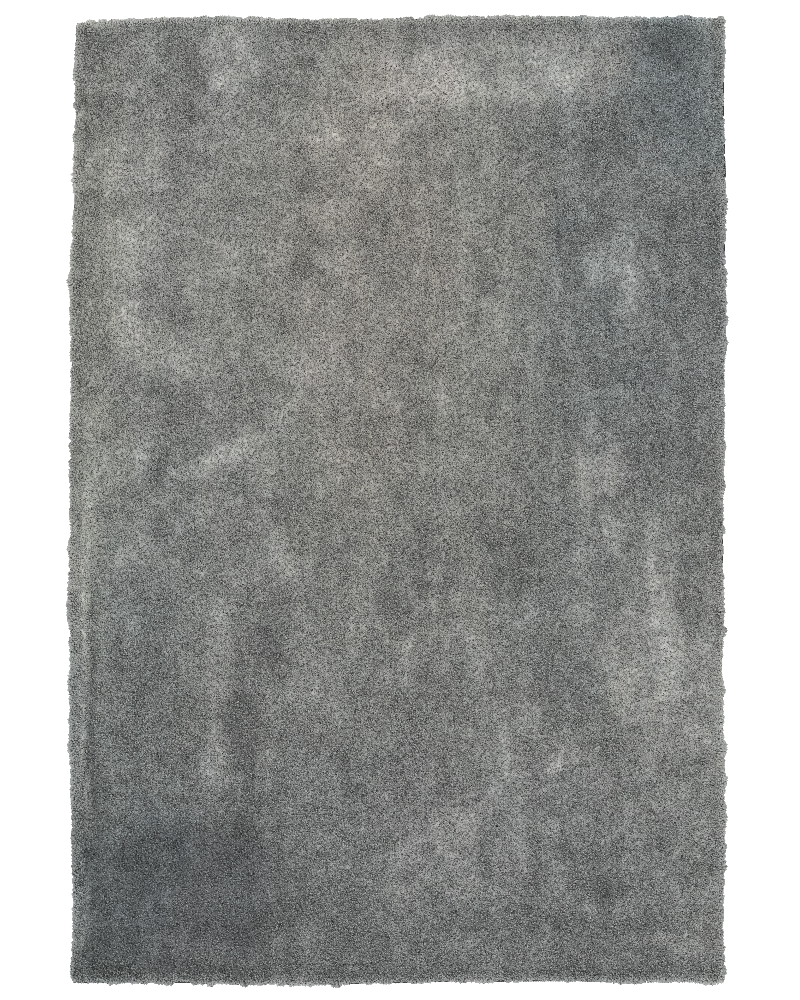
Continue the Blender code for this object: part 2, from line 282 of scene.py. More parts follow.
STROKES = [Stroke(*row) for row in [
    # the broadest
    (300, 210, 250, 190, 6), (360, 800, 300, 120, -6),
    # the head end, from left to right
    (100, 38, 35, 18, -15), (115, 75, 35, 20, -6), (112, 106, 38, 12, -12), (178, 75, 28, 45, -15),
    (226, 60, 26, 33, 20), (270, 84, 25, 10, -10), (310, 32, 45, 12, -12), (333, 63, 12, 8, 14),
    (330, 138, 26, 8, 18), (345, 112, 35, 18, 8), (385, 155, 18, 35, 10), (450, 32, 80, 12, -10),
    (500, 75, 115, 32, 18), (430, 68, 45, 22, 8), (440, 95, 60, 25, 6), (575, 65, 35, 30, 14),
    (520, 130, 25, 18, -6), (600, 150, 32, 25, -6), (625, 178, 7, 18, 10), (672, 42, 28, 30, -22),
    (665, 85, 38, 60, -12),
    # the upper half, left side
    (86, 190, 12, 90, -6), (130, 165, 32, 28, 12), (188, 170, 15, 28, -8), (130, 228, 30, 18, 12),
    (126, 295, 18, 55, 12), (172, 302, 25, 15, -7), (228, 240, 20, 16, 8), (165, 352, 48, 24, 12),
    (170, 390, 30, 14, -12), (190, 425, 22, 22, -10), (250, 388, 48, 8, -9), (286, 408, 16, 16, 8),
    (225, 455, 12, 46, 24, 63), (250, 475, 10, 25, -6, 60), (155, 475, 13, 32, -12, 38),
    (112, 467, 20, 42, 16, 52),
    # the upper half, middle and right side
    (305, 170, 8, 30, -6), (335, 215, 22, 12, 8), (320, 240, 25, 8, -8), (352, 268, 14, 35, 7),
    (378, 245, 15, 45, -8), (465, 215, 15, 20, 6), (325, 365, 45, 28, 9), (318, 465, 32, 22, 6),
    (412, 420, 22, 30, -7), (441, 410, 4, 32, 8), (425, 470, 6, 28, 7, -48), (480, 455, 22, 16, 5),
    (502, 325, 9, 40, 9), (630, 260, 120, 270, -9), (566, 240, 12, 38, -12), (600, 264, 16, 22, 26),
    (626, 262, 12, 45, 18), (635, 290, 14, 30, 8), (598, 305, 18, 20, -6), (700, 260, 20, 90, -5),
    (590, 418, 9, 36, 9), (583, 470, 15, 17, 26), (608, 472, 9, 26, 18), (678, 455, 25, 40, -6),
    (713, 490, 11, 50, -12),
    # the lower half, left side
    (82, 520, 12, 90, 12), (83, 650, 5, 120, 10), (94, 700, 4, 130, -9), (134, 545, 14, 20, 8),
    (200, 521, 9, 8, 12), (280, 555, 18, 24, 14), (218, 615, 12, 22, 14), (140, 650, 42, 60, -9),
    (272, 625, 14, 45, -18), (248, 690, 18, 80, -10), (245, 735, 14, 55, -7), (272, 800, 18, 36, -8),
    (216, 672, 18, 28, 8), (150, 740, 60, 60, -8), (216, 760, 13, 24, 17), (265, 780, 8, 10, 12),
    # the lower half, middle and right side
    (310, 512, 30, 16, -8), (424, 545, 14, 32, -12), (396, 600, 12, 38, -9), (403, 665, 5, 25, 8),
    (325, 690, 18, 45, 5), (335, 725, 14, 14, 8), (350, 770, 20, 30, -5), (390, 740, 14, 40, -6),
    (435, 730, 30, 60, -4), (462, 615, 8, 25, 12), (478, 665, 7, 32, 13), (495, 750, 16, 55, 11),
    (528, 715, 12, 14, 8), (513, 562, 26, 35, -15), (555, 560, 20, 50, -8), (560, 675, 26, 40, -12),
    (562, 762, 22, 26, 9), (607, 527, 8, 22, 17), (650, 560, 9, 50, 22, 3), (650, 660, 45, 65, 12),
    (624, 685, 9, 26, 14), (665, 645, 16, 48, 21, -5), (712, 700, 11, 80, 7),
    # the foot end, from left to right
    (84, 900, 4, 50, 12), (98, 880, 9, 110, -12), (185, 890, 95, 85, -26), (175, 850, 50, 30, -7),
    (240, 840, 20, 45, -8), (95, 965, 35, 25, -12), (212, 930, 8, 40, 8), (320, 850, 35, 60, -7),
    (352, 900, 20, 12, -8), (410, 870, 18, 28, 4), (455, 828, 24, 24, 16), (462, 875, 22, 28, 11),
    (530, 885, 16, 35, -10), (597, 880, 14, 28, -8), (665, 870, 60, 40, -5), (400, 950, 330, 45, -12),
    (460, 943, 14, 10, 7), (678, 942, 28, 9, 16), (500, 976, 230, 10, -9),
    # small dark marks, from head to foot
    (425, 48, 22, 10, -6), (290, 50, 10, 8, -7), (560, 51, 20, 9, -10), (225, 54, 16, 16, -11),
    (304, 60, 15, 12, -11), (565, 60, 32, 11, -10), (222, 60, 18, 18, -4), (404, 61, 15, 10, -11),
    (200, 63, 11, 20, -17), (650, 65, 12, 14, -5), (440, 70, 14, 14, -5), (410, 75, 16, 20, -6),
    (520, 78, 14, 14, -6), (591, 79, 13, 15, -12), (240, 80, 18, 20, -8), (442, 84, 14, 12, -8),
    (205, 95, 16, 9, -5), (158, 96, 14, 10, -11), (260, 113, 24, 14, -9), (372, 116, 16, 8, -7),
    (189, 124, 17, 14, -17), (718, 135, 9, 28, -11), (119, 142, 12, 9, -7), (718, 158, 9, 16, -9),
    (710, 160, 10, 16, -5), (204, 168, 10, 22, -8), (530, 178, 12, 12, -8), (310, 179, 12, 10, -9),
    (491, 226, 10, 14, -9), (125, 255, 12, 12, -4), (605, 266, 10, 18, -10), (302, 269, 18, 13, -9),
    (405, 272, 16, 26, -3), (306, 275, 26, 14, -8), (479, 277, 11, 22, -17), (391, 287, 12, 12, -7),
    (253, 310, 16, 8, -8), (137, 324, 12, 9, -4), (475, 325, 12, 22, -10), (190, 330, 14, 10, -9),
    (415, 330, 22, 10, -9), (420, 345, 25, 20, -4), (354, 353, 18, 13, -11), (422, 361, 12, 16, -13),
    (355, 365, 28, 14, -7), (172, 365, 10, 18, -7), (496, 413, 11, 13, -15), (500, 420, 10, 18, -5),
    (231, 430, 13, 9, -11), (235, 440, 15, 9, -8), (440, 450, 12, 14, -5), (185, 466, 9, 11, -9),
    (594, 470, 20, 20, -6), (85, 476, 9, 14, -9), (388, 486, 12, 15, -12), (690, 525, 14, 14, -9),
    (392, 525, 14, 22, -6), (168, 527, 10, 22, -11), (293, 543, 13, 20, -16), (280, 555, 20, 15, -5),
    (401, 560, 11, 18, -12), (685, 566, 10, 14, -15), (700, 580, 12, 14, -5), (429, 586, 10, 13, -11),
    (184, 586, 10, 12, -8), (433, 588, 12, 16, -7), (407, 604, 12, 8, -10), (645, 605, 12, 13, -12),
    (690, 608, 22, 26, -14), (668, 622, 13, 18, -11), (716, 624, 10, 16, -14), (662, 650, 16, 28, -5),
    (379, 654, 12, 15, -11), (285, 660, 10, 25, -15), (507, 663, 10, 12, -9), (225, 666, 12, 15, -10),
    (669, 672, 18, 17, -13), (502, 690, 8, 20, -5), (646, 700, 14, 14, -10), (74, 718, 7, 28, -8),
    (547, 719, 12, 9, -8), (268, 738, 10, 16, -7), (435, 754, 9, 9, -8), (502, 758, 12, 14, -5),
    (106, 786, 10, 18, -12), (226, 791, 10, 11, -15), (108, 802, 14, 16, -12), (369, 817, 12, 12, -10),
    (636, 822, 10, 9, -8), (255, 822, 24, 14, -5), (560, 838, 20, 14, -8), (266, 842, 12, 16, -9),
    (566, 854, 16, 10, -8), (83, 865, 13, 60, -17), (580, 870, 42, 32, -2), (676, 873, 9, 14, -8),
    (115, 880, 32, 60, -6), (165, 885, 60, 45, -5, 30), (604, 890, 17, 15, -10), (160, 910, 10, 20, -9),
    (285, 915, 30, 40, -7, 30), (295, 918, 16, 14, -10, 35), (77, 918, 8, 16, -8),
    (108, 955, 40, 30, -6), (270, 962, 20, 14, -9), (104, 966, 13, 10, -9), (230, 972, 18, 10, -14),
    (180, 972, 85, 10, -8),
    # small light marks, from head to foot
    (150, 20, 40, 6, 8), (140, 20, 30, 6, 5), (520, 21, 18, 7, 10), (110, 22, 32, 9, 11),
    (255, 22, 22, 7, 8), (470, 22, 45, 8, 10), (640, 22, 55, 8, 10), (130, 22, 55, 9, 10),
    (712, 24, 12, 8, 8), (640, 30, 60, 14, 10), (455, 34, 65, 12, 8), (682, 50, 16, 10, 8),
    (628, 102, 18, 16, 4), (552, 105, 14, 14, 5), (316, 113, 13, 16, 9), (491, 124, 16, 10, 6),
    (572, 166, 10, 25, 13), (88, 179, 15, 12, 15), (572, 202, 12, 18, 4), (697, 241, 12, 12, 9),
    (632, 250, 16, 10, 4), (660, 266, 13, 14, 12), (222, 266, 13, 20, 9), (125, 325, 24, 18, 6),
    (540, 332, 11, 12, 16), (679, 369, 11, 13, 12), (540, 378, 14, 14, 9), (530, 378, 20, 30, 5),
    (625, 397, 16, 12, 11), (304, 408, 9, 24, 5), (91, 416, 18, 20, 15), (263, 463, 18, 11, 13, -40),
    (490, 464, 16, 16, 7), (579, 491, 15, 18, 10), (84, 505, 12, 14, 8), (90, 525, 12, 18, 9),
    (98, 535, 12, 22, 8), (126, 560, 12, 11, 15), (210, 560, 13, 14, 9), (497, 563, 42, 9, 9),
    (95, 568, 9, 12, 4), (82, 590, 10, 30, 8), (692, 600, 14, 14, 10), (135, 619, 12, 14, 8),
    (122, 630, 18, 20, 7), (604, 635, 10, 20, 11), (590, 655, 8, 28, 6), (128, 700, 12, 24, 5),
    (438, 706, 8, 16, 9), (697, 729, 13, 11, 11), (690, 730, 24, 24, 7), (600, 735, 20, 14, 9),
    (226, 738, 11, 22, 12), (662, 748, 24, 9, 5), (552, 758, 18, 14, 8), (507, 762, 10, 16, 9),
    (551, 763, 11, 9, 12), (545, 765, 14, 10, 7), (318, 770, 22, 12, 7), (576, 782, 18, 14, 5),
    (488, 816, 11, 22, 13), (555, 828, 40, 9, 8, 20), (505, 850, 16, 20, 9), (80, 860, 8, 20, 7),
    (582, 874, 26, 20, 5), (351, 916, 11, 12, 8), (178, 946, 14, 14, 10), (472, 955, 14, 18, 11),
    (475, 974, 18, 8, 10),
    # narrow streaks along the left side
    (87, 618, 3.5, 55, 12), (102, 636, 3.5, 48, 13), (94, 625, 3, 45, -4), (128, 625, 3.5, 38, 9),
    (120, 668, 10, 26, -5), (82, 735, 3.5, 50, 12), (92, 742, 3, 30, -8), (98, 735, 3, 25, 8),
    (77, 895, 3, 28, 12), (88, 860, 3, 30, -8),
    # narrow streaks in the middle
    (465, 270, 3.5, 80, 7), (478, 260, 3, 70, -6), (497, 330, 4, 24, 10), (440, 440, 3.5, 48, 9),
    (390, 585, 5, 35, -8), (407, 665, 3.5, 28, 12), (420, 690, 3, 25, -8), (446, 655, 3.5, 30, 10),
    (470, 640, 3.5, 40, 8, -5), (480, 700, 3.5, 28, 8, -5), (500, 742, 4, 30, 5), (535, 655, 5, 35, -8),
    (520, 860, 4, 34, 9), (512, 870, 3.5, 30, -6),
    # narrow streaks on the right
    (557, 222, 5, 32, -5), (566, 300, 3.5, 30, -6), (618, 172, 3.5, 26, 10), (673, 365, 4, 26, 11),
    (580, 415, 3, 22, -7), (590, 440, 3.5, 30, 5), (604, 470, 3.5, 26, 6), (605, 525, 4, 26, 10),
    (640, 590, 3.5, 40, -7), (570, 655, 3.5, 36, 8),
    # short wisps across, at the lower right
    (640, 725, 24, 3.5, -12, -8), (600, 740, 30, 3.5, -12, -10), (690, 760, 18, 3.5, -12, -5),
    (570, 770, 18, 3.5, -12, -20), (660, 780, 26, 3.5, -11, -6), (640, 925, 22, 3.5, -11),
    (650, 938, 26, 4, 14), (690, 948, 16, 4, 13),
]]
THOUSANDTH = PICTURE_HEIGHT / 1000
MIDDLE_X, MIDDLE_Y = 400, 500
FORCE = 0.95
SOFT_EDGE = 10.0
EXPONENT_LIMIT = 30
FEATHER_X = [Drift(5.0, 0.05, 0.09, 11), Drift(3.0, 0.012, 0.018, 12)]
FEATHER_Y = [Drift(5.0, 0.05, 0.09, 13), Drift(3.0, 0.012, 0.018, 14)]
FULLY_FEATHERED = 9.0


def picture_place(x, y):
    """Where places on the floor are in the picture, in thousandths of its height."""
    right, up = (x - PICTURE_MIDDLE[0]) / THOUSANDTH, (y - PICTURE_MIDDLE[1]) / THOUSANDTH
    return MIDDLE_X + right, MIDDLE_Y - up


def inside_patch(patch, turn_degrees, px, py):
    """How much of a patch each place gets: 1 inside it, 0 outside, with a soft edge."""
    turn = math.radians(turn_degrees)
    dx, dy = px - patch.x, patch.y - py
    across = (dx * math.cos(turn) - dy * math.sin(turn)) / patch.half_width
    along = (dx * math.sin(turn) + dy * math.cos(turn)) / patch.half_length
    outside = SOFT_EDGE * (np.hypot(across, along) - 1)
    return 1 / (1 + np.exp(np.clip(outside, -EXPONENT_LIMIT, EXPONENT_LIMIT)))


def stroked(x, y):
    """How many steps of 255 lighter the strokes leave the pile at each place: painted light and shade."""
    px, py = picture_place(x, y)
    feather_x, feather_y = drifted(x, y, *FEATHER_X), drifted(x, y, *FEATHER_Y)
    lighter = np.zeros(len(x))
    for stroke in STROKES:
        torn = min(1, stroke.half_width / FULLY_FEATHERED, stroke.half_length / FULLY_FEATHERED)
        lighter += stroke.lighter * inside_patch(stroke, stroke.turn, px + torn * feather_x,
                                                 py + torn * feather_y)
    return FORCE * lighter


print(len(STROKES), "strokes, from", min(s.lighter for s in STROKES), "to", max(s.lighter for s in STROKES))

# %% [markdown]
# The tint drifts too, but slowly: the middle of the rug is a little rosy, the right side and the lower left
# are bluish green. These rows say how many steps of 255 the red and the blue lie above the green, beyond
# what they do on the whole rug. Their borders are feathered three times as wide as those of the strokes.

# %% The broad drifts of tint
Tint = namedtuple("Tint", "x y half_width half_length redder bluer")

TINTS = [Tint(*row) for row in [
    (365, 270, 85, 240, 2.6, -1.0), (400, 340, 170, 330, 0.8, -1.4), (180, 230, 110, 150, 0.8, -0.4),
    (90, 350, 30, 350, 0.3, -2.2), (680, 75, 50, 90, -2.6, 2.2), (640, 230, 100, 250, -1.4, 2.2),
    (560, 360, 55, 150, -1.0, 0.2), (140, 530, 70, 100, -1.0, 0.3), (115, 800, 75, 230, -2.2, 0.8),
    (175, 890, 100, 90, -0.6, 2.4), (420, 890, 330, 140, -0.4, 1.6), (430, 820, 45, 90, 1.0, 0.0),
    (660, 660, 50, 90, 0.6, 0.0), (560, 600, 60, 100, -0.8, 0.8), (222, 60, 22, 28, 0.8, 1.3),
    (415, 75, 45, 30, 0.6, 1.6), (590, 67, 30, 25, 1.7, -1.4), (330, 370, 40, 40, -0.8, 1.2),
    (595, 470, 30, 30, 2.0, -0.3), (662, 650, 24, 34, -1.0, 0.7),
]]
TINT_FEATHER_X = Drift(15.0, 0.06, 0.09, 15)
TINT_FEATHER_Y = Drift(15.0, 0.06, 0.09, 16)
BLUE_FORCE = 0.85


def tinted_by_place(x, y):
    """How many steps of 255 redder and bluer than elsewhere the pile is at each place."""
    px, py = picture_place(x, y)
    px = px + drifted(x, y, TINT_FEATHER_X)
    py = py + drifted(x, y, TINT_FEATHER_Y)
    amounts = [inside_patch(tint, 0, px, py) for tint in TINTS]
    redder = sum(tint.redder * amount for tint, amount in zip(TINTS, amounts))
    bluer = sum(tint.bluer * amount for tint, amount in zip(TINTS, amounts))
    return redder, BLUE_FORCE * bluer


print(len(TINTS), "drifts of tint")

# %% [markdown]
# Between the strokes the pile is never even. Fine streaks run along the rug, the way it was made and rolled,
# and they are strongest on its right side; mottles of a few sizes lie over all, and small blobs of tint. The
# strengths of these drifts are steps of 255. Where the pile is lighter it is a little warmer too. The result
# for each place is a multiplier of the colour. Steps of 255 are turned into light by the screen's curve,
# which is near a power of 2.2.
#
# Dark flecks between the fibres give the yarn its salt and pepper: partly the yarn's own, partly painted
# shade in the gaps between fibres. A patch that lies in shade shows more of them, and one that shines shows
# fewer, so `dark_share` follows the shade. `yarn_colour` makes up for the flecks: with many or with few of
# them, a place keeps the lightness that its strokes gave it.

# %% Shade and tint for any place on the rug
MIDDLE_STEP = 126.0
SCREEN_POWER = 2.2
DARK_SHARE = 0.56
DARK_SHARE_POWER = -2.4
DARK_SHARE_LIMITS = (0.14, 0.80)
STREAKS = [Drift(2.5, 0.007, 0.09, 29), Drift(3.6, 0.012, 0.11, 21), Drift(2.5, 0.030, 0.20, 22)]
MOTTLES = [Drift(1.5, 0.010, 0.014, 23), Drift(2.4, 0.024, 0.030, 24), Drift(2.2, 0.070, 0.090, 25)]
LEFT_STREAKS = 0.7
STREAKS_GROW_AT = 0.15
STREAKS_GROWTH = 8
PURPLE_BLOBS = Drift(0.6, 0.014, 0.016, 26)
RED_BLOBS = Drift(0.5, 0.030, 0.036, 27)
BLUE_BLOBS = Drift(0.5, 0.030, 0.036, 28)
REDDER_A_STEP = 0.030
BLUER_A_STEP = -0.015
BASE_COLOUR = np.array([0.275, 0.2825, 0.270])
COLOUR_LIMITS = (0.004, 0.9)


def shade_and_tint(x, y):
    """For each place: a multiplier of the yarn's lightness, and multipliers of its red and its blue."""
    streaky = LEFT_STREAKS + (1 - LEFT_STREAKS) / (1 + np.exp(-STREAKS_GROWTH * (x - STREAKS_GROW_AT)))
    lighter = stroked(x, y) + streaky * drifted(x, y, *STREAKS) + drifted(x, y, *MOTTLES)
    redder, bluer = tinted_by_place(x, y)
    redder += REDDER_A_STEP * lighter + drifted(x, y, PURPLE_BLOBS, RED_BLOBS)
    bluer += BLUER_A_STEP * lighter + drifted(x, y, PURPLE_BLOBS, BLUE_BLOBS)
    shade = ((MIDDLE_STEP + lighter) / MIDDLE_STEP) ** SCREEN_POWER
    one_step = SCREEN_POWER / MIDDLE_STEP
    return shade, 1 + one_step * redder, 1 + one_step * bluer


def dark_share(shade):
    """What share of the flecks is dark: fewer where the pile shines, more where it lies in shade."""
    return np.clip(DARK_SHARE * shade ** DARK_SHARE_POWER, *DARK_SHARE_LIMITS)


def yarn_colour(shade, red, blue, dark):
    """The linear colour of yarn of a given shade and tint, so that it keeps both with its dark flecks."""
    fleck_mean = 1 - dark / 2
    tint = np.stack([red, np.ones_like(red), blue], axis=-1)
    return np.clip(BASE_COLOUR * (shade / fleck_mean)[:, None] * tint, *COLOUR_LIMITS)


trial = shade_and_tint(*trial_places(3))
print(f"shades from {np.percentile(trial[0], 1):.2f} to {np.percentile(trial[0], 99):.2f}")

# %% [markdown]
# ## The ground of the pile
#
# Half a centimetre down into the pile, tufts press so close together that the eye sees one felt. Modelling
# those hidden lengths would cost a lot and show nothing, so one closed form stands for them. It is the
# model's pile on a smaller scale: drawn in at the sides, a little lower, and fuller on its round shoulder,
# where the tufts fan out and hide less of it. It is cut finer than the model and made a little lumpy. Its
# colour will be stored at its corners, so no edge on top may be longer than most patches are wide.

# %% Shape the ground
GROUND_INSET = 0.0060
GROUND_TOP = 0.0228
GROUND_LUMPS = Drift(0.0010, 0.02, 0.02, 31)
GROUND_CUTS = 1
SAME_POINT = 1e-5
LONGEST_EDGE = 0.030
UPPER_SIDE = 0.01
SHOULDER_FILL = 0.0032

PILE_FOOT = pile_points[:, 2].min()


def height_on_ground(height):
    """Heights on the model's pile, lowered to the ground inside it."""
    lowered = (height - PILE_FOOT) * (GROUND_TOP - PILE_FOOT) / (PILE_TOP - PILE_FOOT) + PILE_FOOT
    up_shoulder = np.clip((height - RIM_HEIGHT) / (PILE_TOP - RIM_HEIGHT), 0, 1)
    return lowered + SHOULDER_FILL * 4 * up_shoulder * (1 - up_shoulder)


def on_ground(points):
    """Points of the model's pile, moved to where they lie on the ground inside it."""
    return np.column_stack([points[:, 0] * (1 - GROUND_INSET / (WIDTH / 2)),
                            points[:, 1] * (1 - GROUND_INSET / (LENGTH / 2)),
                            height_on_ground(points[:, 2])])


def long_edges(form):
    """The edges of the ground's upper side that are too long to follow a patch in its colour."""
    return [edge for edge in form.edges if edge.calc_length() > LONGEST_EDGE
            and max(corner.co.z for corner in edge.verts) > PILE_FOOT + UPPER_SIDE]


def cut_finer(mesh):
    """The pile's form in triangles that are small enough to carry the patches."""
    form = bmesh.new()
    form.from_mesh(mesh)
    bmesh.ops.remove_doubles(form, verts=form.verts, dist=SAME_POINT)
    bmesh.ops.subdivide_edges(form, edges=form.edges, cuts=GROUND_CUTS, use_grid_fill=True)
    bmesh.ops.triangulate(form, faces=form.faces)
    while long_edges(form):
        bmesh.ops.subdivide_edges(form, edges=long_edges(form), cuts=1)
        bmesh.ops.triangulate(form, faces=form.faces)
    finer = bpy.data.meshes.new("pile_ground")
    form.to_mesh(finer)
    form.free()
    return finer


ground_mesh = cut_finer(pile_mesh)
ground_points = on_ground(points_of(ground_mesh))
above_foot = ground_points[:, 2] > PILE_FOOT + SAME_HEIGHT
ground_points[above_foot, 2] += drifted(*ground_points[above_foot, :2].T, GROUND_LUMPS)
ground_mesh.vertices.foreach_set("co", ground_points.ravel())
ground_mesh.update()
ground_mesh.shade_smooth()
print(len(ground_mesh.polygons), f"faces in the ground, {1000 * ground_points[:, 2].max():.1f} mm high")

# %% [markdown]
# The felt carries its colour from place to place, as the tufts will. It lies deeper, so its colour is
# painted darker than the tufts, as painted shade, and darkest in patches that lie in shade. Where a patch
# shines, the strands lie flat and close the gaps, and the felt is painted nearly as light as the tufts, or
# the patch would look coarse and harsh. Down the shoulder, light comes in from the side, so the felt is
# painted lighter there, as painted light.

# %% Colour the ground
SHOULDER_START = GROUND_TOP - 0.0015
SHOULDER_DROP = 0.008
GROUND_SHADE = 0.87
GROUND_EDGE_PAINTED_LIGHT = 0.8
GROUND_SHINE = 0.35


def add_piece(name, mesh, material, node_slot, *nodes):
    """A mesh piece that rides on the rug and stands for the given nodes."""
    piece = bpy.data.objects.new(name, mesh)
    bpy.context.scene.collection.objects.link(piece)
    mesh.materials.append(material)
    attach(piece, "root")
    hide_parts(*nodes)
    return piece


def add_dye_and_painted_light(mesh, colours, dark):
    """Store at each point of a mesh its colour, painted light and shade included, and its share of dark
    flecks, for a material to read.
    """
    dye_and_painted_light = mesh.color_attributes.new("dye_and_painted_light", "FLOAT_COLOR", "POINT")
    dye_and_painted_light.data.foreach_set("color", np.column_stack([colours, np.ones(len(colours))]).ravel())
    share = mesh.attributes.new("dark_share", "FLOAT", "POINT")
    share.data.foreach_set("value", dark)


ground_shade, ground_red, ground_blue = shade_and_tint(*ground_points[:, :2].T)
ground_dark = dark_share(ground_shade)
shoulder_painted_light = np.clip((SHOULDER_START - ground_points[:, 2]) / SHOULDER_DROP, 0, 1)[:, None]
ground_colour = yarn_colour(ground_shade, ground_red, ground_blue, ground_dark)
# Painted shade: the felt is painted darker than the tufts, darkest in shaded patches; painted light lifts it
# down the shoulder.
ground_colour *= (GROUND_SHADE * ground_shade ** GROUND_SHINE)[:, None]
ground_colour *= 1 + GROUND_EDGE_PAINTED_LIGHT * shoulder_painted_light
add_dye_and_painted_light(ground_mesh, ground_colour, ground_dark)
felt, felt_tree, felt_shader = principled("felted_yarn")
add_piece("pile_ground", ground_mesh, felt, "pile", "pile")
print("mean colour of the felt:", ground_colour.mean(axis=0).round(3))

# %% [markdown]
# ## Where each tuft stands
#
# A tufting machine sets yarn in rows along the rug. After years of feet nobody sees the rows, so each tuft
# is moved at random by up to nearly half the distance to its neighbour. Each tuft gets a root just inside
# the felted ground and a tip at the height of the model's pile, which has shallow hollows of its own; a ray
# dropped on the model finds that height.

# %% Set the tufts of the field
GAUGE = 0.0046
STITCH = 0.0040
FIELD_MARGIN = 0.021
JITTER = 0.45
SINK = 0.0015
RAY_START = 0.1

row_places = np.arange(-WIDTH / 2 + FIELD_MARGIN, WIDTH / 2 - FIELD_MARGIN, GAUGE)
stitch_places = np.arange(-LENGTH / 2 + FIELD_MARGIN, LENGTH / 2 - FIELD_MARGIN, STITCH)
field_x, field_y = (g.ravel() for g in np.meshgrid(row_places, stitch_places, indexing="ij"))
field_count = len(field_x)
field_chance = chance(41)
field_x = field_x + GAUGE * field_chance.uniform(-JITTER, JITTER, field_count)
field_y = field_y + STITCH * field_chance.uniform(-JITTER, JITTER, field_count)

pile_tree = BVHTree.FromPolygons([Vector(p) for p in pile_points],
                                 [tuple(p.vertices) for p in pile_mesh.polygons])


def height_of_pile(points):
    """The height of the model's pile under each point, or the rim's height beside it."""
    down = Vector((0, 0, -1))
    heights = np.full(len(points), RIM_HEIGHT)
    for number, (x, y, _) in enumerate(points):
        hit = pile_tree.ray_cast(Vector((x, y, RAY_START)), down)[0]
        if hit is not None:
            heights[number] = hit.z
    return heights


field_tip = uneven(np.stack([field_x, field_y, np.zeros(field_count)], axis=1))
field_tip[:, 2] = height_of_pile(field_tip)
field_root = field_tip.copy()
field_root[:, 2] = height_on_ground(field_tip[:, 2]) - SINK
print(field_count, "tufts in the field,", len(row_places), "rows of", len(stitch_places))

# %% [markdown]
# ## The fringe of tufts round the edge
#
# At the edge there is no neighbour to lean on, so the tufts fan out: those inside stand up, those outside
# lie level, and the lowest hang a little. Seen from the side they make the rug's round shoulder, whose foot
# hides the binding; seen from above they are the soft border of the rug. They are set at stations, at even
# distances round the outline and its small round corners.

# %% Walk round the outline
FRINGE_STATION = 0.0043
OUTLINE_CORNER = 0.009


def round_the_rug(station):
    """Points at even distances round the exact outline, and the way out at each."""
    half_x, half_y = WIDTH / 2 - OUTLINE_CORNER, LENGTH / 2 - OUTLINE_CORNER
    quarter = OUTLINE_CORNER * math.pi / 2
    sides = [(-half_x, -half_y, 1, 0, 2 * half_x, -90), (half_x, -half_y, 0, 1, 2 * half_y, 0),
             (half_x, half_y, -1, 0, 2 * half_x, 90), (-half_x, half_y, 0, -1, 2 * half_y, 180)]
    points, ways = [], []
    for x, y, go_x, go_y, run, facing in sides:
        out = math.radians(facing)
        way = np.array([math.cos(out), math.sin(out)])
        steps = np.arange(0, run, station)[:, None]
        points.append(np.array([x, y]) + steps * np.array([go_x, go_y]) + OUTLINE_CORNER * way)
        ways.append(np.repeat(way[None], len(steps), axis=0))
        turns = out + np.arange(0, quarter, station) / OUTLINE_CORNER
        round_way = np.stack([np.cos(turns), np.sin(turns)], axis=1)
        corner = np.array([x + go_x * run, y + go_y * run])
        points.append(corner + OUTLINE_CORNER * round_way)
        ways.append(round_way)
    return np.concatenate(points), np.concatenate(ways)


station_points, station_ways = round_the_rug(FRINGE_STATION)
print(len(station_points), "stations round the rug")

# %% [markdown]
# From the stations the tufts go in rows, from the top of the shoulder down. A row is given by the angle of
# its fan: 0 degrees stands up, 90 lies level. Each root is in the felt, and each tip lies on the round
# shoulder or, in the last rows, hangs below it. Every other row is shifted by half a station, as bricks are.

# %% Set the tufts of the fringe
FRINGE_JITTER = 0.5
FRINGE_FANS = [4, 14, 24, 33, 42, 50, 58, 66, 73, 80, 88, 96, 106]
FAN_SCATTER = 5
FIRST_FAN_SEED = 81
SHOULDER = 0.024
HANG_LENGTH = 0.013
HANG_INSET = 0.0015
TIP_LOW = 0.0012


def shoulder_height(inset):
    """How high the round shoulder of the model's pile is, at a distance in from the outline."""
    inward = np.clip(inset / SHOULDER, 0, 1)
    return RIM_HEIGHT + (PILE_TOP - RIM_HEIGHT) * np.sqrt(1 - (1 - inward) ** 2)


def fringe_row(number, fan_degrees):
    """One row of the fringe: its roots, its tips, the way out at each and the angle of its fan."""
    fan_chance = chance(FIRST_FAN_SEED + number)
    count = len(station_points)
    fan = np.radians(fan_degrees + fan_chance.uniform(-FAN_SCATTER, FAN_SCATTER, count))
    slip = FRINGE_STATION * fan_chance.uniform(-FRINGE_JITTER, FRINGE_JITTER, count)
    slip += FRINGE_STATION / 2 * (number % 2)
    side_way = np.stack([-station_ways[:, 1], station_ways[:, 0]], axis=1)
    outward = np.sin(fan)
    tip_inset = SHOULDER * (1 - outward) + np.where(fan > math.pi / 2, HANG_INSET, 0)
    tip_height = np.where(fan < math.pi / 2, RIM_HEIGHT + (PILE_TOP - RIM_HEIGHT) * np.cos(fan),
                          RIM_HEIGHT + HANG_LENGTH * np.cos(fan))
    root_inset = tip_inset + (GROUND_INSET + SINK) * outward
    root_height = np.where(fan < math.pi / 2, shoulder_height(root_inset - GROUND_INSET), tip_height)
    tip_xy = station_points - station_ways * tip_inset[:, None] + side_way * slip[:, None]
    root_xy = station_points - station_ways * root_inset[:, None] + side_way * slip[:, None]
    tips = uneven(np.column_stack([tip_xy, np.maximum(tip_height, TIP_LOW)]))
    roots = uneven(np.column_stack([root_xy, height_on_ground(root_height) - SINK]))
    return roots, tips, np.column_stack([station_ways * outward[:, None], np.cos(fan)]), fan


fringe_rows = [fringe_row(number, fan_degrees) for number, fan_degrees in enumerate(FRINGE_FANS)]
fringe_root, fringe_tip, fringe_out, fringe_fan = (np.concatenate(part) for part in zip(*fringe_rows))
print(len(fringe_root), "tufts in the fringe, in", len(FRINGE_FANS), "rows")

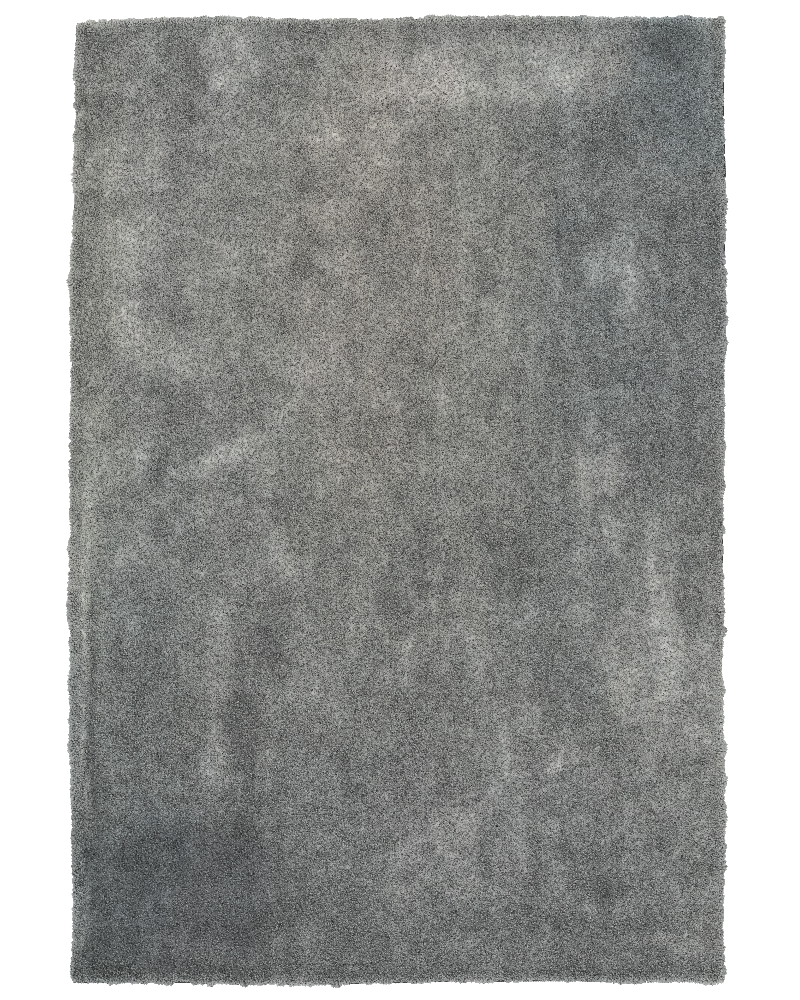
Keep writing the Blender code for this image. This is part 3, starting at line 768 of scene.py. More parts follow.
# %% [markdown]
# ## Puffs and thin places along the edge
#
# The edge of a shag is never clean. Here and there a few tufts stick out, and where they draw back, the
# dark binding shows. Both are listed as they lie on the real rug: where, how far they reach, and how many
# thousandths of the picture's height the tufts come out, or draw back where the number is below zero. The
# places are read off the visible edge, and the tufts that reach it have their roots some three thousandths
# further in, so the list is shifted inward by that much.

# %% The puffs and thin places
Puff = namedtuple("Puff", "x y half_width half_length out")

PUFFS = [Puff(*row) for row in [
    # along the head, from left to right
    (78, 23, 3, 4, -5), (87, 22, 4, 4, 1.0), (94.5, 23, 1.7, 4, -5), (101, 21, 4, 4, 2.0),
    (114, 21, 3, 4, 1.0), (129, 21, 5, 4, 1.0), (165, 20, 14, 4, 1.2), (206, 19, 4, 4, 1.2),
    (226, 19, 4, 4, 1.2), (244, 20, 3, 4, -2.1), (255, 20, 6, 4, 1.8), (271, 20, 4, 4, 1.2),
    (327, 19, 4, 4, 1.2), (346, 19, 7, 4, 1.4), (376, 19, 4, 4, -2.1), (406, 18, 7, 4, 1.8),
    (418, 19, 5, 4, -2.8), (430, 17, 4, 4, 1.8), (452, 17, 4, 4, 1.6), (521, 18, 4, 4, 1.5),
    (583, 18, 4, 4, 1.6), (612, 19, 4, 4, -1.4), (684, 18, 9, 4, 1.5), (712, 19, 4, 4, -2.1),
    (724, 18, 3, 3, 1.5), (719, 20, 2, 3, -4.2),
    # down the left side
    (75, 28, 4, 5, -4.2), (75, 38, 4, 5, -4.2), (75, 75, 4, 6, 1.8), (75, 96, 4, 5, 1.0),
    (75, 106, 4, 3, 2.4), (75, 116, 4, 4, -4.2), (74, 137, 4, 4, 1.2), (74, 178, 4, 4, 1.8),
    (74, 203, 4, 8, -4.2), (73, 250, 4, 7, 2.0), (72, 280, 4, 8, 2.0), (72, 340, 4, 4, -2.8),
    (72, 365, 4, 4, -2.8), (72, 457, 4, 4, -4.2), (71, 530, 4, 9, -2.1), (71, 551, 4, 5, 1.8),
    (71, 570, 4, 3, -3.5), (70, 606, 4, 16, 1.4), (70, 633, 4, 3, -4.2), (70, 680, 4, 9, 2.0),
    (70, 746, 4, 6, 2.0), (73, 977, 4, 4, 1.0),
    # down the right side
    (724, 30, 4, 4, 1.6), (724, 37, 4, 3, 2.2), (724, 53, 4, 3, 1.5), (724, 88, 4, 7, -3.6),
    (724, 109, 4, 9, -4.2), (724, 118, 4, 3, 1.4), (725, 149, 4, 5, -4.2), (725, 168, 4, 12, -4.2),
    (725, 206, 4, 6, 2.0), (725, 248, 4, 5, -2.8), (725, 275, 4, 4, 2.2), (725, 284, 4, 3, 1.6),
    (725, 322, 4, 4, 2.2), (725, 345, 4, 7, 2.0), (725, 377, 4, 5, -2.8), (725, 447, 4, 4, 1.8),
    (724, 486, 4, 6, 1.4), (724, 530, 4, 3, 3.0), (724, 541, 4, 3, -4.2), (724, 559, 4, 4, -3.6),
    (724, 632, 4, 4, 2.8), (723, 689, 4, 7, 2.0), (723, 718, 4, 4, 1.8), (723, 748, 4, 5, 2.4),
    (723, 780, 4, 5, 2.8), (723, 815, 4, 10, 1.6), (723, 848, 4, 4, 2.2), (723, 862, 4, 8, 1.6),
    (723, 974, 4, 5, 3.0),
    # along the foot, from left to right
    (80, 984, 8, 4, -4.2), (98, 984, 11, 4, -3.4), (110, 984, 3, 4, 1.8), (152, 984, 5, 4, -2.2),
    (169, 984, 4, 4, 2.8), (182, 984, 9, 4, -3.1), (210, 984, 4, 4, 1.8), (244, 984, 3, 4, 2.2),
    (280, 984, 3, 4, 2.0), (292, 984, 3, 4, 1.8), (308, 984, 4, 4, 1.6), (337, 984, 4, 4, 2.8),
    (355, 984, 5, 4, -3.4), (376, 984, 4, 4, -2.5), (401, 984, 8, 4, -3.9), (441, 983, 10, 4, -2.8),
    (500, 983, 6, 4, -3.9), (541, 983, 22, 4, -3.6), (588, 983, 14, 4, -2.8), (630, 984, 16, 4, 1.4),
    (708, 985, 6, 4, 2.2), (716, 985, 4, 4, 3.0),
]]
ROOTS_INWARD = 3
SIDE_ZONE = 300
END_ZONE = 460
BARE_AT = 3


def puffed(x, y):
    """How far the tufts come out at each place, in thousandths of the picture's height."""
    px, py = picture_place(x, y)
    inward_x = np.where(abs(px - MIDDLE_X) > SIDE_ZONE, np.sign(MIDDLE_X - px) * ROOTS_INWARD, 0)
    inward_y = np.where(abs(py - MIDDLE_Y) > END_ZONE, np.sign(MIDDLE_Y - py) * ROOTS_INWARD, 0)
    px, py = px - inward_x, py - inward_y
    return sum(puff.out * inside_patch(puff, 0, px, py) for puff in PUFFS)


def thinness(puffs):
    """How thin the edge is, from 0 to 1, for places where the tufts come out by so many thousandths."""
    return np.clip(-puffs / BARE_AT, 0, 1)


print(len(PUFFS), "puffs and thin places")

# %% [markdown]
# ## Leaning and clumping
#
# Tufts lean this way and that, a stroked patch leans a little along the rug, and the tips cling to each
# other in clumps about a centimetre wide. That makes a shag look soft rather than like a brush. Field and
# fringe are put together here, and each tip is moved: with two drifts, towards the middle of its clump, and
# up or down a little. The further out a tuft of the fringe fans, the less it leans and clings.

# %% Lean the tufts
CLUMP = 0.0125
CLUMP_ROOM = 0.1
CLING = 0.05
FAR_AWAY = 9.0
LEAN_X = [Drift(0.0022, 0.05, 0.06, 64), Drift(0.0014, 0.016, 0.016, 65)]
LEAN_Y = [Drift(0.0022, 0.05, 0.06, 66), Drift(0.0014, 0.016, 0.016, 67)]
LEAN_A_STEP = 0.00003
TIP_SCATTER = 0.0010
TIP_RISE = 0.0009
TIP_SINK = 0.0004

root = np.concatenate([field_root, fringe_root])
tip = np.concatenate([field_tip, fringe_tip])
out = np.concatenate([np.tile([0.0, 0.0, 1.0], (field_count, 1)), fringe_out])
fan = np.concatenate([np.zeros(field_count), fringe_fan])
tuft_count = len(root)
x, y = root[:, 0], root[:, 1]
tuft_chance = chance(61)


def nearest_clump(x, y):
    """For each place the middle of its clump, and a random number that the clump shares."""
    size = int(2 * REACH / CLUMP) + 3
    shifts = chance(62).uniform(CLUMP_ROOM, 1 - CLUMP_ROOM, (size, size, 2))
    share = chance(63).uniform(-1, 1, (size, size))
    column = ((x + REACH) / CLUMP).astype(int)
    row = ((y + REACH) / CLUMP).astype(int)
    best = np.full(len(x), FAR_AWAY)
    middle = np.zeros((len(x), 2))
    shared = np.zeros(len(x))
    for step_x in (-1, 0, 1):
        for step_y in (-1, 0, 1):
            i, j = column + step_x, row + step_y
            spot_x = (i + shifts[i, j, 0]) * CLUMP - REACH
            spot_y = (j + shifts[i, j, 1]) * CLUMP - REACH
            distance = np.hypot(spot_x - x, spot_y - y)
            nearer = distance < best
            best = np.where(nearer, distance, best)
            middle[nearer] = np.stack([spot_x, spot_y], axis=1)[nearer]
            shared = np.where(nearer, share[i, j], shared)
    return middle, shared


lighter = stroked(x, y)
clump_middle, clump_share = nearest_clump(tip[:, 0], tip[:, 1])
upright = np.clip(np.cos(fan), 0, 1)
lean_x = drifted(x, y, *LEAN_X)
lean_y = drifted(x, y, *LEAN_Y) + LEAN_A_STEP * lighter
tip[:, 0] += upright * (lean_x + CLING * (clump_middle[:, 0] - tip[:, 0]))
tip[:, 1] += upright * (lean_y + CLING * (clump_middle[:, 1] - tip[:, 1]))
tip[:, :2] += tuft_chance.normal(0, TIP_SCATTER, (tuft_count, 2))
tip[:, 2] += upright * (tuft_chance.normal(0, TIP_RISE, tuft_count) + TIP_RISE * clump_share - TIP_SINK)
print(f"{tuft_count} tufts, in clumps {1000 * CLUMP:.1f} mm apart")

# %% [markdown]
# ## How the fringe wanders
#
# The fringe has no neighbours outside, so it wanders more. Its tips go in and out in waves and slip
# sideways along the edge, which gives the outline its soft bumps. In a thin place a tuft is worn down: its
# tip is drawn back towards its root, some more and some less, so the binding shows between the last ones.

# %% Move the tips of the fringe
EDGE_WAVES = [Drift(0.0006, 0.040, 0.040, 68), Drift(0.0014, 0.011, 0.011, 69)]
WAVE_SCATTER = 0.0004
SIDEWAYS_SLIP = [Drift(0.0020, 0.020, 0.020, 70), Drift(0.0020, 0.009, 0.009, 71)]
LEAST_WORN, MOST_WORN = 0.28, 0.85
WEAR_REACH = 1.6

sidelong = np.clip(np.sin(fan), 0, 1)
outermost = sidelong ** 3
puffs = puffed(x, y)
edge_wave = drifted(x, y, *EDGE_WAVES)
edge_wave += tuft_chance.normal(0, WAVE_SCATTER, tuft_count) + THOUSANDTH * np.maximum(puffs, 0)
edge_wave *= outermost
tip += out * edge_wave[:, None]
sideways = outermost * drifted(x, y, *SIDEWAYS_SLIP)
tip[:, 0] += -out[:, 1] * sideways
tip[:, 1] += out[:, 0] * sideways
worn = tuft_chance.uniform(LEAST_WORN, MOST_WORN, tuft_count)
drawn_back = thinness(puffs) * np.clip(WEAR_REACH * sidelong, 0, 1) * worn
tip += (root - tip) * drawn_back[:, None]
tip[:, 2] = np.maximum(tip[:, 2], TIP_LOW)
print(f"mean length of a tuft: {1000 * np.linalg.norm(tip - root, axis=1).mean():.1f} mm")

# %% [markdown]
# ## The shape of a tuft
#
# A cut tuft of soft yarn is thin at its root, opens to its widest near its middle, and closes to a soft
# point. Five points give that: the root, a ring of three, and the tip, in six triangles. A closed shape this
# small can stand 150,000 times within a million triangles. The ring's middle is pushed to one side, so the
# tuft bends. The tufts of the fringe end blunter: their ring is wider and sits nearer the tip, so that the
# rug's border looks soft, not spiky. The arrays below hold all tufts at once; numpy works them out in a
# moment, where a loop over them would take minutes.

# %% Turn the tufts into points
POINTS_A_TUFT = 5
WIDEST = 0.40
TUFT_RADIUS = 0.0023
THINNEST, THICKEST = 0.80, 1.22
FRINGE_WIDER = 0.6
FRINGE_BLUNTER = 0.3
BEND = 0.0011
WORN_THINNER = 0.6
ABOVE_FLOOR = 0.0004
NEARLY_NOTHING = 1e-9
NEARLY_LEVEL = 0.8


def unit(vectors):
    """The same vectors, each made 1 long."""
    return vectors / np.maximum(np.linalg.norm(vectors, axis=1), NEARLY_NOTHING)[:, None]


shade, red, blue = shade_and_tint(x, y)
axis = unit(tip - root)
level = np.where(abs(axis[:, :1]) < NEARLY_LEVEL, np.array([[1.0, 0, 0]]), np.array([[0, 1.0, 0]]))
ring_a = unit(np.cross(level, axis))
ring_b = np.cross(axis, ring_a)
twist = tuft_chance.uniform(0, 2 * math.pi, tuft_count)
radius = TUFT_RADIUS * tuft_chance.uniform(THINNEST, THICKEST, tuft_count) * (1 + FRINGE_WIDER * outermost)
radius *= 1 - WORN_THINNER * drawn_back
bend = BEND * tuft_chance.normal(0, 1, (2, tuft_count))
widest = WIDEST + FRINGE_BLUNTER * outermost[:, None]
middle = root + widest * (tip - root) + ring_a * bend[0][:, None] + ring_b * bend[1][:, None]

tuft_points = np.empty((tuft_count, POINTS_A_TUFT, 3))
tuft_points[:, 0] = root
tuft_points[:, -1] = tip
for corner in range(3):
    angle = twist + corner * 2 * math.pi / 3
    side = ring_a * np.cos(angle)[:, None] + ring_b * np.sin(angle)[:, None]
    tuft_points[:, 1 + corner] = middle + side * radius[:, None]
tuft_points[:, :, 2] = np.maximum(tuft_points[:, :, 2], ABOVE_FLOOR)

TUFT_FACES = np.array([(1, 2, 4), (2, 3, 4), (3, 1, 4), (2, 1, 0), (3, 2, 0), (1, 3, 0)])
print("highest tip at", round(1000 * tuft_points[:, :, 2].max(), 1), "mm")

# %% [markdown]
# ## Colour from root to tip
#
# Light hardly reaches the roots, so each tuft is painted darker there, as painted shade. Each tuft carries a
# colour at each of its five points: painted darker at the root and full from the ring to the tip, on top of
# the shade of the place where it stands and a chance of its own. That chance is lopsided, because yarn that
# missed some light is commoner than yarn that caught more of it. Tufts differ more in shade and less in a
# patch that shines. `TUFT_SHINE` takes back from the tufts what `GROUND_SHINE` gives to the felt under them,
# so that each patch as a whole keeps its lightness.
#
# The tufts of the fringe stand open to the light, so their colour is painted lighter, as painted light, most
# of all at their roots and along the two short ends. They also differ less and carry fewer dark flecks: on
# the real rug the outermost centimetre is smoother than the rest.

# %% Colour the points
POINT_SHADES = np.array([0.85, 1.0, 1.0, 1.0, 1.0])
FRINGE_SHADES = np.array([1.6, 1.1, 1.1, 1.1, 1.0])
TUFT_SHINE = -0.26
VARIETY_POWER = -1.5
VARIETY_LIMITS = (0.3, 2.0)
TUFT_VARIETY = 0.09
TUFT_WARMTH = 0.012
FRINGE_CALMER = 0.6
FRINGE_FEWER_FLECKS = 0.8
PAINTED_LIGHT_ROUND, PAINTED_LIGHT_RIGHT, PAINTED_LIGHT_ENDS, PAINTED_LIGHT_HEAD = 0.06, 0.05, 0.18, 0.03
LIGHTEST_YARN = 0.95

variety = TUFT_VARIETY * (1 - FRINGE_CALMER * sidelong)
variety *= np.clip(shade ** VARIETY_POWER, *VARIETY_LIMITS)
own_shade = np.exp(variety * (1 - tuft_chance.exponential(1, tuft_count)))
own_shade *= shade ** TUFT_SHINE
own_warmth = tuft_chance.normal(0, TUFT_WARMTH, tuft_count)
tuft_dark_share = dark_share(shade) * (1 - FRINGE_FEWER_FLECKS * sidelong)
# Painted light: the fringe is painted lighter all round, more on the right than the left, and most along the
# two short ends, the head a little more than the foot.
fringe_painted_light = PAINTED_LIGHT_ROUND + PAINTED_LIGHT_RIGHT * out[:, 0] + PAINTED_LIGHT_ENDS * abs(out[:, 1]) + PAINTED_LIGHT_HEAD * out[:, 1]
tuft_colour = yarn_colour(shade, red + own_warmth, blue - own_warmth, tuft_dark_share)
tuft_colour *= (own_shade * (1 + sidelong * fringe_painted_light))[:, None]
# Painted shade darkens each tuft's root; on the fringe the roots are painted lighter instead, as painted
# light.
point_shades = POINT_SHADES + sidelong[:, None] * (FRINGE_SHADES - POINT_SHADES)
point_colours = np.clip(tuft_colour[:, None] * point_shades[:, :, None], 0, LIGHTEST_YARN)
print("mean yarn colour:", tuft_colour.mean(axis=0).round(3))

# %% [markdown]
# ## Small parts for the materials
#
# A material is a tree of nodes, joined by links. Yarn, felt, binding and backing need the same few parts, so
# each part gets a helper that makes its nodes. Most of them hand on the socket where their result comes out.
#
# The yarn is full of dark flecks, a millimetre or two across: partly its own salt and pepper, partly painted
# shade in the gaps between fibres. A picture of flecks would repeat and blur, so they are worked out
# instead: a fleck is one cell of a cell noise. The cell's random number is divided by the share of dark
# flecks and cut off at 1, so that share of the cells is dark, each to its own degree, and the rest is full.

# %% Helpers for materials
NOISE_LOW, NOISE_HIGH = 0.25, 0.75


def link(tree, output, target):
    """Join two sockets."""
    tree.links.new(output, target)


def scaled_noise(tree, vector, scale, detail, low, high):
    """A noise whose value is spread from low to high."""
    noise = tree.nodes.new("ShaderNodeTexNoise")
    set_inputs(noise, {"Scale": scale, "Detail": detail})
    link(tree, vector, noise.inputs["Vector"])
    spread = tree.nodes.new("ShaderNodeMapRange")
    set_inputs(spread, {"From Min": NOISE_LOW, "From Max": NOISE_HIGH, "To Min": low, "To Max": high})
    link(tree, noise.outputs["Fac"], spread.inputs["Value"])
    return spread.outputs["Result"]


def flecks(tree, vector, scale):
    """Flecks, each about 1 / scale across: a share of them dark by chance, the rest at full lightness."""
    cells = tree.nodes.new("ShaderNodeTexVoronoi")
    set_inputs(cells, {"Scale": scale})
    link(tree, vector, cells.inputs["Vector"])
    split = tree.nodes.new("ShaderNodeSeparateColor")
    link(tree, cells.outputs["Color"], split.inputs["Color"])
    share = tree.nodes.new("ShaderNodeAttribute")
    share.attribute_name = "dark_share"
    lightness = tree.nodes.new("ShaderNodeMath")
    lightness.operation = "DIVIDE"
    lightness.use_clamp = True
    link(tree, split.outputs["Red"], lightness.inputs[0])
    link(tree, share.outputs["Fac"], lightness.inputs[1])
    return lightness.outputs[0]


def times(tree, a, b):
    """The product of two numbers."""
    node = tree.nodes.new("ShaderNodeMath")
    node.operation = "MULTIPLY"
    link(tree, a, node.inputs[0])
    link(tree, b, node.inputs[1])
    return node.outputs[0]


def place_on(tree):
    """Where each point of the piece lies, in metres."""
    return tree.nodes.new("ShaderNodeTexCoord").outputs["Object"]


def dye_and_painted_light_on(tree):
    """The colour that is stored at the points of the piece, with its painted light and shade."""
    node = tree.nodes.new("ShaderNodeVertexColor")
    node.layer_name = "dye_and_painted_light"
    return node.outputs["Color"]


def painted(tree, shader, colour, amount):
    """Give a shader a colour, made lighter or darker by an amount."""
    node = tree.nodes.new("ShaderNodeVectorMath")
    node.operation = "SCALE"
    link(tree, colour, node.inputs[0])
    link(tree, amount, node.inputs["Scale"])
    link(tree, node.outputs[0], shader.inputs["Base Color"])


def bumped(tree, shader, height, strength, distance):
    """Give a shader a bump from a height."""
    bump = tree.nodes.new("ShaderNodeBump")
    set_inputs(bump, {"Strength": strength, "Distance": distance})
    link(tree, height, bump.inputs["Height"])
    link(tree, bump.outputs["Normal"], shader.inputs["Normal"])


print("helpers for the nodes", ", ".join(part.__name__ for part in (scaled_noise, flecks, times, bumped)))

# %% [markdown]
# ## The yarn material
#
# The shader reads the colours that the tufts carry, and adds what is finer than a tuft: the flecks, here ten
# times as tall as they are wide, and fibres that run along the strand, in the colour and as a bump. The
# fibres need to know which way is along, so each tuft gets a small map, `strand`, whose second number runs
# from root to tip. A little sheen gives the soft glow that a brushed fibre has at a shallow angle.

# %% Mix the yarn
FLECKS_A_METRE = 580.0
FLECK_STRETCH = (1, 1, 0.1)

yarn, yarn_tree, yarn_shader = principled("shag_yarn")
yarn_place = place_on(yarn_tree)
strand_map = yarn_tree.nodes.new("ShaderNodeUVMap")
strand_map.uv_map = "strand"
stretched = yarn_tree.nodes.new("ShaderNodeVectorMath")
stretched.operation = "MULTIPLY"
stretched.inputs[1].default_value = FLECK_STRETCH
link(yarn_tree, yarn_place, stretched.inputs[0])
specks = flecks(yarn_tree, stretched.outputs[0], FLECKS_A_METRE)
fibres = scaled_noise(yarn_tree, strand_map.outputs["UV"], scale=1.0, detail=1.0, low=0.82, high=1.18)
painted(yarn_tree, yarn_shader, dye_and_painted_light_on(yarn_tree), times(yarn_tree, specks, fibres))
roughness = scaled_noise(yarn_tree, yarn_place, scale=FLECKS_A_METRE, detail=1.0, low=0.82, high=0.98)
link(yarn_tree, roughness, yarn_shader.inputs["Roughness"])
bumped(yarn_tree, yarn_shader, fibres, strength=0.5, distance=0.0006)
set_inputs(yarn_shader, {"Specular IOR Level": 0.25, "Sheen Weight": 0.15, "Sheen Roughness": 0.5})
print(len(yarn_tree.nodes), "nodes in the yarn")

# %% [markdown]
# The felted ground is the same yarn, pressed together. It has the same flecks, but no strands that could be
# told apart, so the fibres are left out and the flecks make the bump.

# %% Mix the felted ground
felt_specks = flecks(felt_tree, place_on(felt_tree), FLECKS_A_METRE)
painted(felt_tree, felt_shader, dye_and_painted_light_on(felt_tree), felt_specks)
set_inputs(felt_shader, {"Roughness": 0.95})
bumped(felt_tree, felt_shader, felt_specks, strength=0.8, distance=0.002)
print(len(felt_tree.nodes), "nodes in the felt")

# %% [markdown]
# ## Two maps for each tuft
#
# A map says where on a flat sheet each corner of a face lies. On the map `strand`, the first number goes
# round the tuft and the second from its root to its tip, and each tuft is shifted by chance, so that
# neighbours have fibres of their own. On the map `OFBake` a picture of the colours can be stored: every
# tuft has its own little square there, and in the square it lies unfolded like a star, its tip in the
# middle and its root at the points.

# %% Lay out the maps
FIBRES_AROUND = 9.0
FIBRE_LENGTHS = 2.4
STRAND_SHIFT = 400
STAR_SIZE = 0.46


def strand_places(count):
    """Where the corners of the tufts lie on the map `strand`, each tuft shifted by chance."""
    around = np.array([(0, 1, 0.5), (1, 2, 1.5), (2, 3, 2.5), (1, 0, 0.5), (2, 1, 1.5), (0, -1, -0.5)])
    along = np.array([(WIDEST, WIDEST, 1)] * 3 + [(WIDEST, WIDEST, 0)] * 3)
    strand = np.stack([around / 3 * FIBRES_AROUND, along * FIBRE_LENGTHS], axis=-1)
    return strand + chance(71).uniform(0, STRAND_SHIFT, (count, 1, 1, 2))


def star_places(count):
    """Where the corners of the tufts lie on the map `OFBake`, each tuft in its own square."""
    turns = np.radians([90, 210, 330])
    ring = np.stack([np.cos(turns), np.sin(turns)], axis=1)
    star = np.empty((len(TUFT_FACES), 3, 2))
    for face, (here, after) in enumerate(zip(ring, np.roll(ring, -1, axis=0))):
        star[face] = [here, after, (0, 0)]
        star[face + 3] = [after, here, here + after]
    side = math.ceil(math.sqrt(count))
    square = np.stack([np.arange(count) % side, np.arange(count) // side], axis=1) + 0.5
    return (square[:, None, None] + STAR_SIZE * star) / side


print("corners of a tuft on each map:", 3 * len(TUFT_FACES))

# %% [markdown]
# ## Joining the tufts
#
# One object for each tuft would choke Blender, and one object for all would be too heavy to pass on. So the
# tufts are joined in five lengthwise bands, with nearly the same number of tufts in each. Mesh data of this
# size is set in whole arrays, because adding faces one by one would take minutes.

# %% Join the tufts in bands
BANDS = 5


def band_mesh(name, chosen):
    """One joined mesh of the chosen tufts, with its colours and its two maps."""
    count = len(chosen)
    mesh = bpy.data.meshes.new(name)
    mesh.vertices.add(POINTS_A_TUFT * count)
    mesh.vertices.foreach_set("co", tuft_points[chosen].ravel())
    corners = (TUFT_FACES + POINTS_A_TUFT * np.arange(count)[:, None, None]).ravel()
    mesh.loops.add(len(corners))
    mesh.loops.foreach_set("vertex_index", corners)
    mesh.polygons.add(len(TUFT_FACES) * count)
    mesh.polygons.foreach_set("loop_start", np.arange(0, len(corners), 3))
    mesh.update(calc_edges=True)
    mesh.shade_smooth()
    add_dye_and_painted_light(mesh, point_colours[chosen].reshape(-1, 3), np.repeat(tuft_dark_share[chosen], POINTS_A_TUFT))
    mesh.uv_layers.new(name="strand").data.foreach_set("uv", strand_places(count).ravel())
    mesh.uv_layers.new(name="OFBake").data.foreach_set("uv", star_places(count).ravel())
    mesh.uv_layers["OFBake"].active_render = True
    return mesh


band_limits = np.quantile(root[:, 0], np.linspace(0, 1, BANDS + 1)[1:-1])
band_of_tuft = np.searchsorted(band_limits, root[:, 0], side="right")
for number in range(BANDS):
    name = f"tufts_{number + 1}"
    chosen = np.flatnonzero(band_of_tuft == number)
    band = add_piece(name, band_mesh(name, chosen), yarn, "pile", "pile")
    print(band.name, len(band.data.polygons), "triangles")

# %% [markdown]
# ## The bound edge
#
# The cut edge of the backing is sewn over with dark yarn, turn beside turn. The yarn is nearly black, and a
# fine noise makes it lighter and darker from fibre to fibre, in the colour and as a bump.

# %% Mix the binding yarn
NEAR_BLACK = (0.016, 0.016, 0.018)


def one_colour(tree, colour):
    """The same colour everywhere."""
    node = tree.nodes.new("ShaderNodeRGB")
    node.outputs[0].default_value = (*colour, 1)
    return node.outputs[0]


binding_yarn, binding_tree, binding_shader = principled("binding_yarn")
binding_place = place_on(binding_tree)
binding_specks = scaled_noise(binding_tree, binding_place, scale=900.0, detail=2.0, low=0.5, high=1.7)
painted(binding_tree, binding_shader, one_colour(binding_tree, NEAR_BLACK), binding_specks)
set_inputs(binding_shader, {"Roughness": 0.8, "Sheen Weight": 0.1})
bumped(binding_tree, binding_shader, binding_specks, strength=0.6, distance=0.0005)
print(len(binding_tree.nodes), "nodes in the binding yarn")

# %% [markdown]
# Each of the four lengths is swept along the model's own strip: a flattened oval, which grows and shrinks
# from station to station, so that every second station is the crest of one turn of yarn. The upper side is
# shifted a little along the edge, because the needle carries the yarn forward on its way over. Where the
# fringe is worn thin, nothing presses the binding in, and it bulges out a little; that is how it comes to
# show from above.

# %% Sew the binding
TURN_OF_YARN = 0.0034
OVAL_POINTS = 6
CREST = 1.0
VALLEY = 0.80
SLANT = 0.0016
STRIP_STEP = 0.003
WHOLE_STRIP = 0.006
END_ROOM = 0.0002
END_SWELL = 0.6
BOXINESS = 0.7
BINDING_OUT = {"left": 0.0014, "right": 0.0038, "head": 0.0014, "foot": 0.0036}
RUNS_ALONG = {"left": Y, "right": Y, "head": X, "foot": X}


def strip_lines(node, along):
    """The inner and outer line of a model strip: places along it and the two sides there."""
    points = points_of(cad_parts[node].data)
    steps = (points[:, along] / STRIP_STEP).round()
    places, near, far = [], [], []
    for step in np.unique(steps):
        here = points[steps == step]
        across = here[:, 1 - along]
        if np.ptp(across) > WHOLE_STRIP:
            places.append(here[:, along].mean())
            near.append(across.min())
            far.append(across.max())
    return np.array(places), np.array(near), np.array(far)


def boxy(numbers):
    """Numbers from -1 to 1, pushed outward, so that the circle they make grows boxy."""
    return np.sign(numbers) * abs(numbers) ** BOXINESS


def sewn_strip(edge, along):
    """The mesh of one length of binding, and how many turns of yarn it has."""
    node = f"binding_{edge}"
    low, high = (np.array(c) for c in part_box(node))
    turns = int((high[along] - low[along]) / TURN_OF_YARN)
    stations = np.linspace(low[along] + END_ROOM, high[along] - END_ROOM, 2 * turns + 1)
    places, near, far = strip_lines(node, along)
    near, far = np.interp(stations, places, near), np.interp(stations, places, far)
    outer, way_out = (near, -1) if edge in ("left", "foot") else (far, 1)
    outer_places = (outer, stations) if along == Y else (stations, outer)
    outer += way_out * BINDING_OUT[edge] * thinness(puffed(*outer_places))

    middle_line, half_width, half_height = (near + far) / 2, (far - near) / 2, (high[2] - low[2]) / 2
    swell = np.where(np.arange(len(stations)) % 2 == 1, CREST, VALLEY)
    swell[[0, -1]] = END_SWELL
    angles = 2 * math.pi * (np.arange(OVAL_POINTS) + 0.5) / OVAL_POINTS
    across, upward = boxy(np.cos(angles)), boxy(np.sin(angles))
    points = np.empty((len(stations), OVAL_POINTS, 3))
    points[:, :, 1 - along] = middle_line[:, None] + (half_width * (0.5 + 0.5 * swell))[:, None] * across
    points[:, :, 2] = half_height + half_height * swell[:, None] * upward
    points[:, :, along] = stations[:, None]
    points[1:-1, :, along] += SLANT / 2 * upward
    points[:, :, along] = np.clip(points[:, :, along], low[along], high[along])

    index = np.arange(len(stations) * OVAL_POINTS).reshape(len(stations), OVAL_POINTS)
    turned = np.roll(index, -1, axis=1)
    walls = np.stack([index[:-1], turned[:-1], turned[1:], index[1:]], axis=-1).reshape(-1, 4)
    faces = walls.tolist() + [index[0, ::-1].tolist(), index[-1].tolist()]
    if along == Y:
        faces = [face[::-1] for face in faces]
    mesh = bpy.data.meshes.new(f"bound_{edge}")
    mesh.from_pydata(points.reshape(-1, 3), [], faces)
    mesh.shade_smooth()
    return mesh, turns


for edge, along in RUNS_ALONG.items():
    strip_mesh, turns = sewn_strip(edge, along)
    strip = add_piece(f"bound_{edge}", strip_mesh, binding_yarn, "binding", f"binding_{edge}")
    print(strip.name, turns, "turns of yarn,", len(strip.data.polygons), "faces")

# %% [markdown]
# ## The backing cloth
#
# Under the pile is a coarse woven cloth with a matt coating. It shows only when the rug is turned over, so
# threads of real geometry would be wasted on it. Two sets of ribs that cross stand for the weave, in colour
# and bump.

# %% Weave the cloth
RIB = 0.0032
RADIANS_AT_SCALE_ONE = 20
DARK_GREY = (0.055, 0.054, 0.050)


def ribs(tree, direction):
    """Ribs of yarn across one direction, from 0 between them to 1 on their crests."""
    wave = tree.nodes.new("ShaderNodeTexWave")
    wave.bands_direction = direction
    set_inputs(wave, {"Scale": math.pi / (RADIANS_AT_SCALE_ONE * RIB), "Distortion": 0.6, "Detail": 1.0})
    link(tree, place_on(tree), wave.inputs["Vector"])
    return wave.outputs["Fac"]


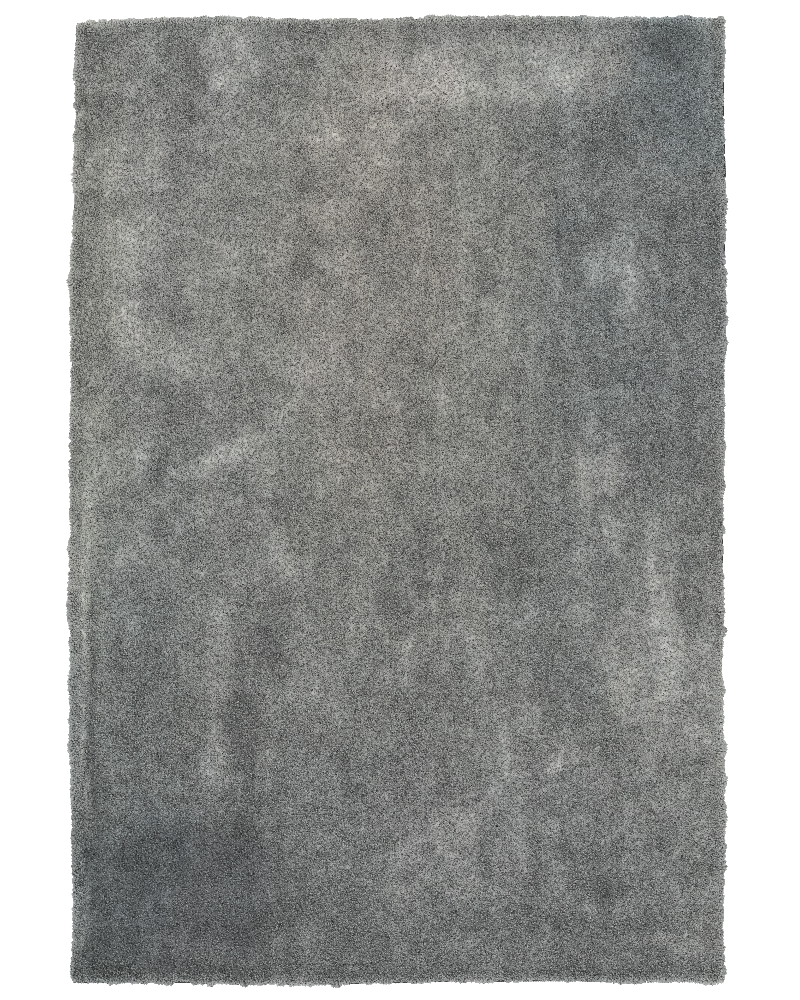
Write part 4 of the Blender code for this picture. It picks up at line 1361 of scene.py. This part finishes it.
cloth, cloth_tree, cloth_shader = principled("backing_cloth")
weave = times(cloth_tree, ribs(cloth_tree, "X"), ribs(cloth_tree, "Y"))
# The colour follows the weave: painted shade between the ribs, lighter on their crests.
weave_shade = cloth_tree.nodes.new("ShaderNodeMapRange")
set_inputs(weave_shade, {"To Min": 0.55, "To Max": 1.25})
link(cloth_tree, weave, weave_shade.inputs["Value"])
painted(cloth_tree, cloth_shader, one_colour(cloth_tree, DARK_GREY), weave_shade.outputs["Result"])
set_inputs(cloth_shader, {"Roughness": 0.9})
bumped(cloth_tree, cloth_shader, weave, strength=0.7, distance=0.0006)
print(len(cloth_tree.nodes), "nodes in the cloth")

# %% [markdown]
# The cloth is a flat closed sheet, 3 mm thick, with the rug's outline drawn in to the inner side of the
# binding. It lies on the floor and hangs from nothing, and it is cut a little smaller than the pile, in one
# with its binding.

# %% Cut the backing
BINDING_REACH = 0.0123
CLOTH_STEP = 0.06


def pad(inset, top, foot, step):
    """A closed flat mesh with the rug's outline, drawn in by inset."""
    across = np.linspace(-WIDTH / 2 + inset, WIDTH / 2 - inset, round((WIDTH - 2 * inset) / step) + 1)
    along = np.linspace(-LENGTH / 2 + inset, LENGTH / 2 - inset, round((LENGTH - 2 * inset) / step) + 1)
    x, y = (g.ravel() for g in np.meshgrid(across, along))
    high = uneven(np.stack([x, y, np.full(len(x), top)], axis=1))
    low = high.copy()
    low[:, 2] = foot
    columns, rows, count = len(across), len(along), len(x)
    index = np.arange(count).reshape(rows, columns)
    upper = np.stack([index[:-1, :-1], index[:-1, 1:], index[1:, 1:], index[1:, :-1]], axis=-1)
    upper = upper.reshape(-1, 4)
    lower = upper[:, ::-1] + count
    loop = np.concatenate([index[0, :-1], index[:-1, -1], index[-1, :0:-1], index[:0:-1, 0]])
    after = np.roll(loop, -1)
    skirt = np.stack([loop, loop + count, after + count, after], axis=-1)
    mesh = bpy.data.meshes.new("backing_cloth")
    mesh.from_pydata(np.concatenate([high, low]), [], np.concatenate([upper, lower, skirt]).tolist())
    return mesh


backing_low, backing_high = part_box("backing")
backing = add_piece("backing_cloth", pad(BINDING_REACH, backing_high[2], backing_low[2], CLOTH_STEP),
                    cloth, "backing", "backing")
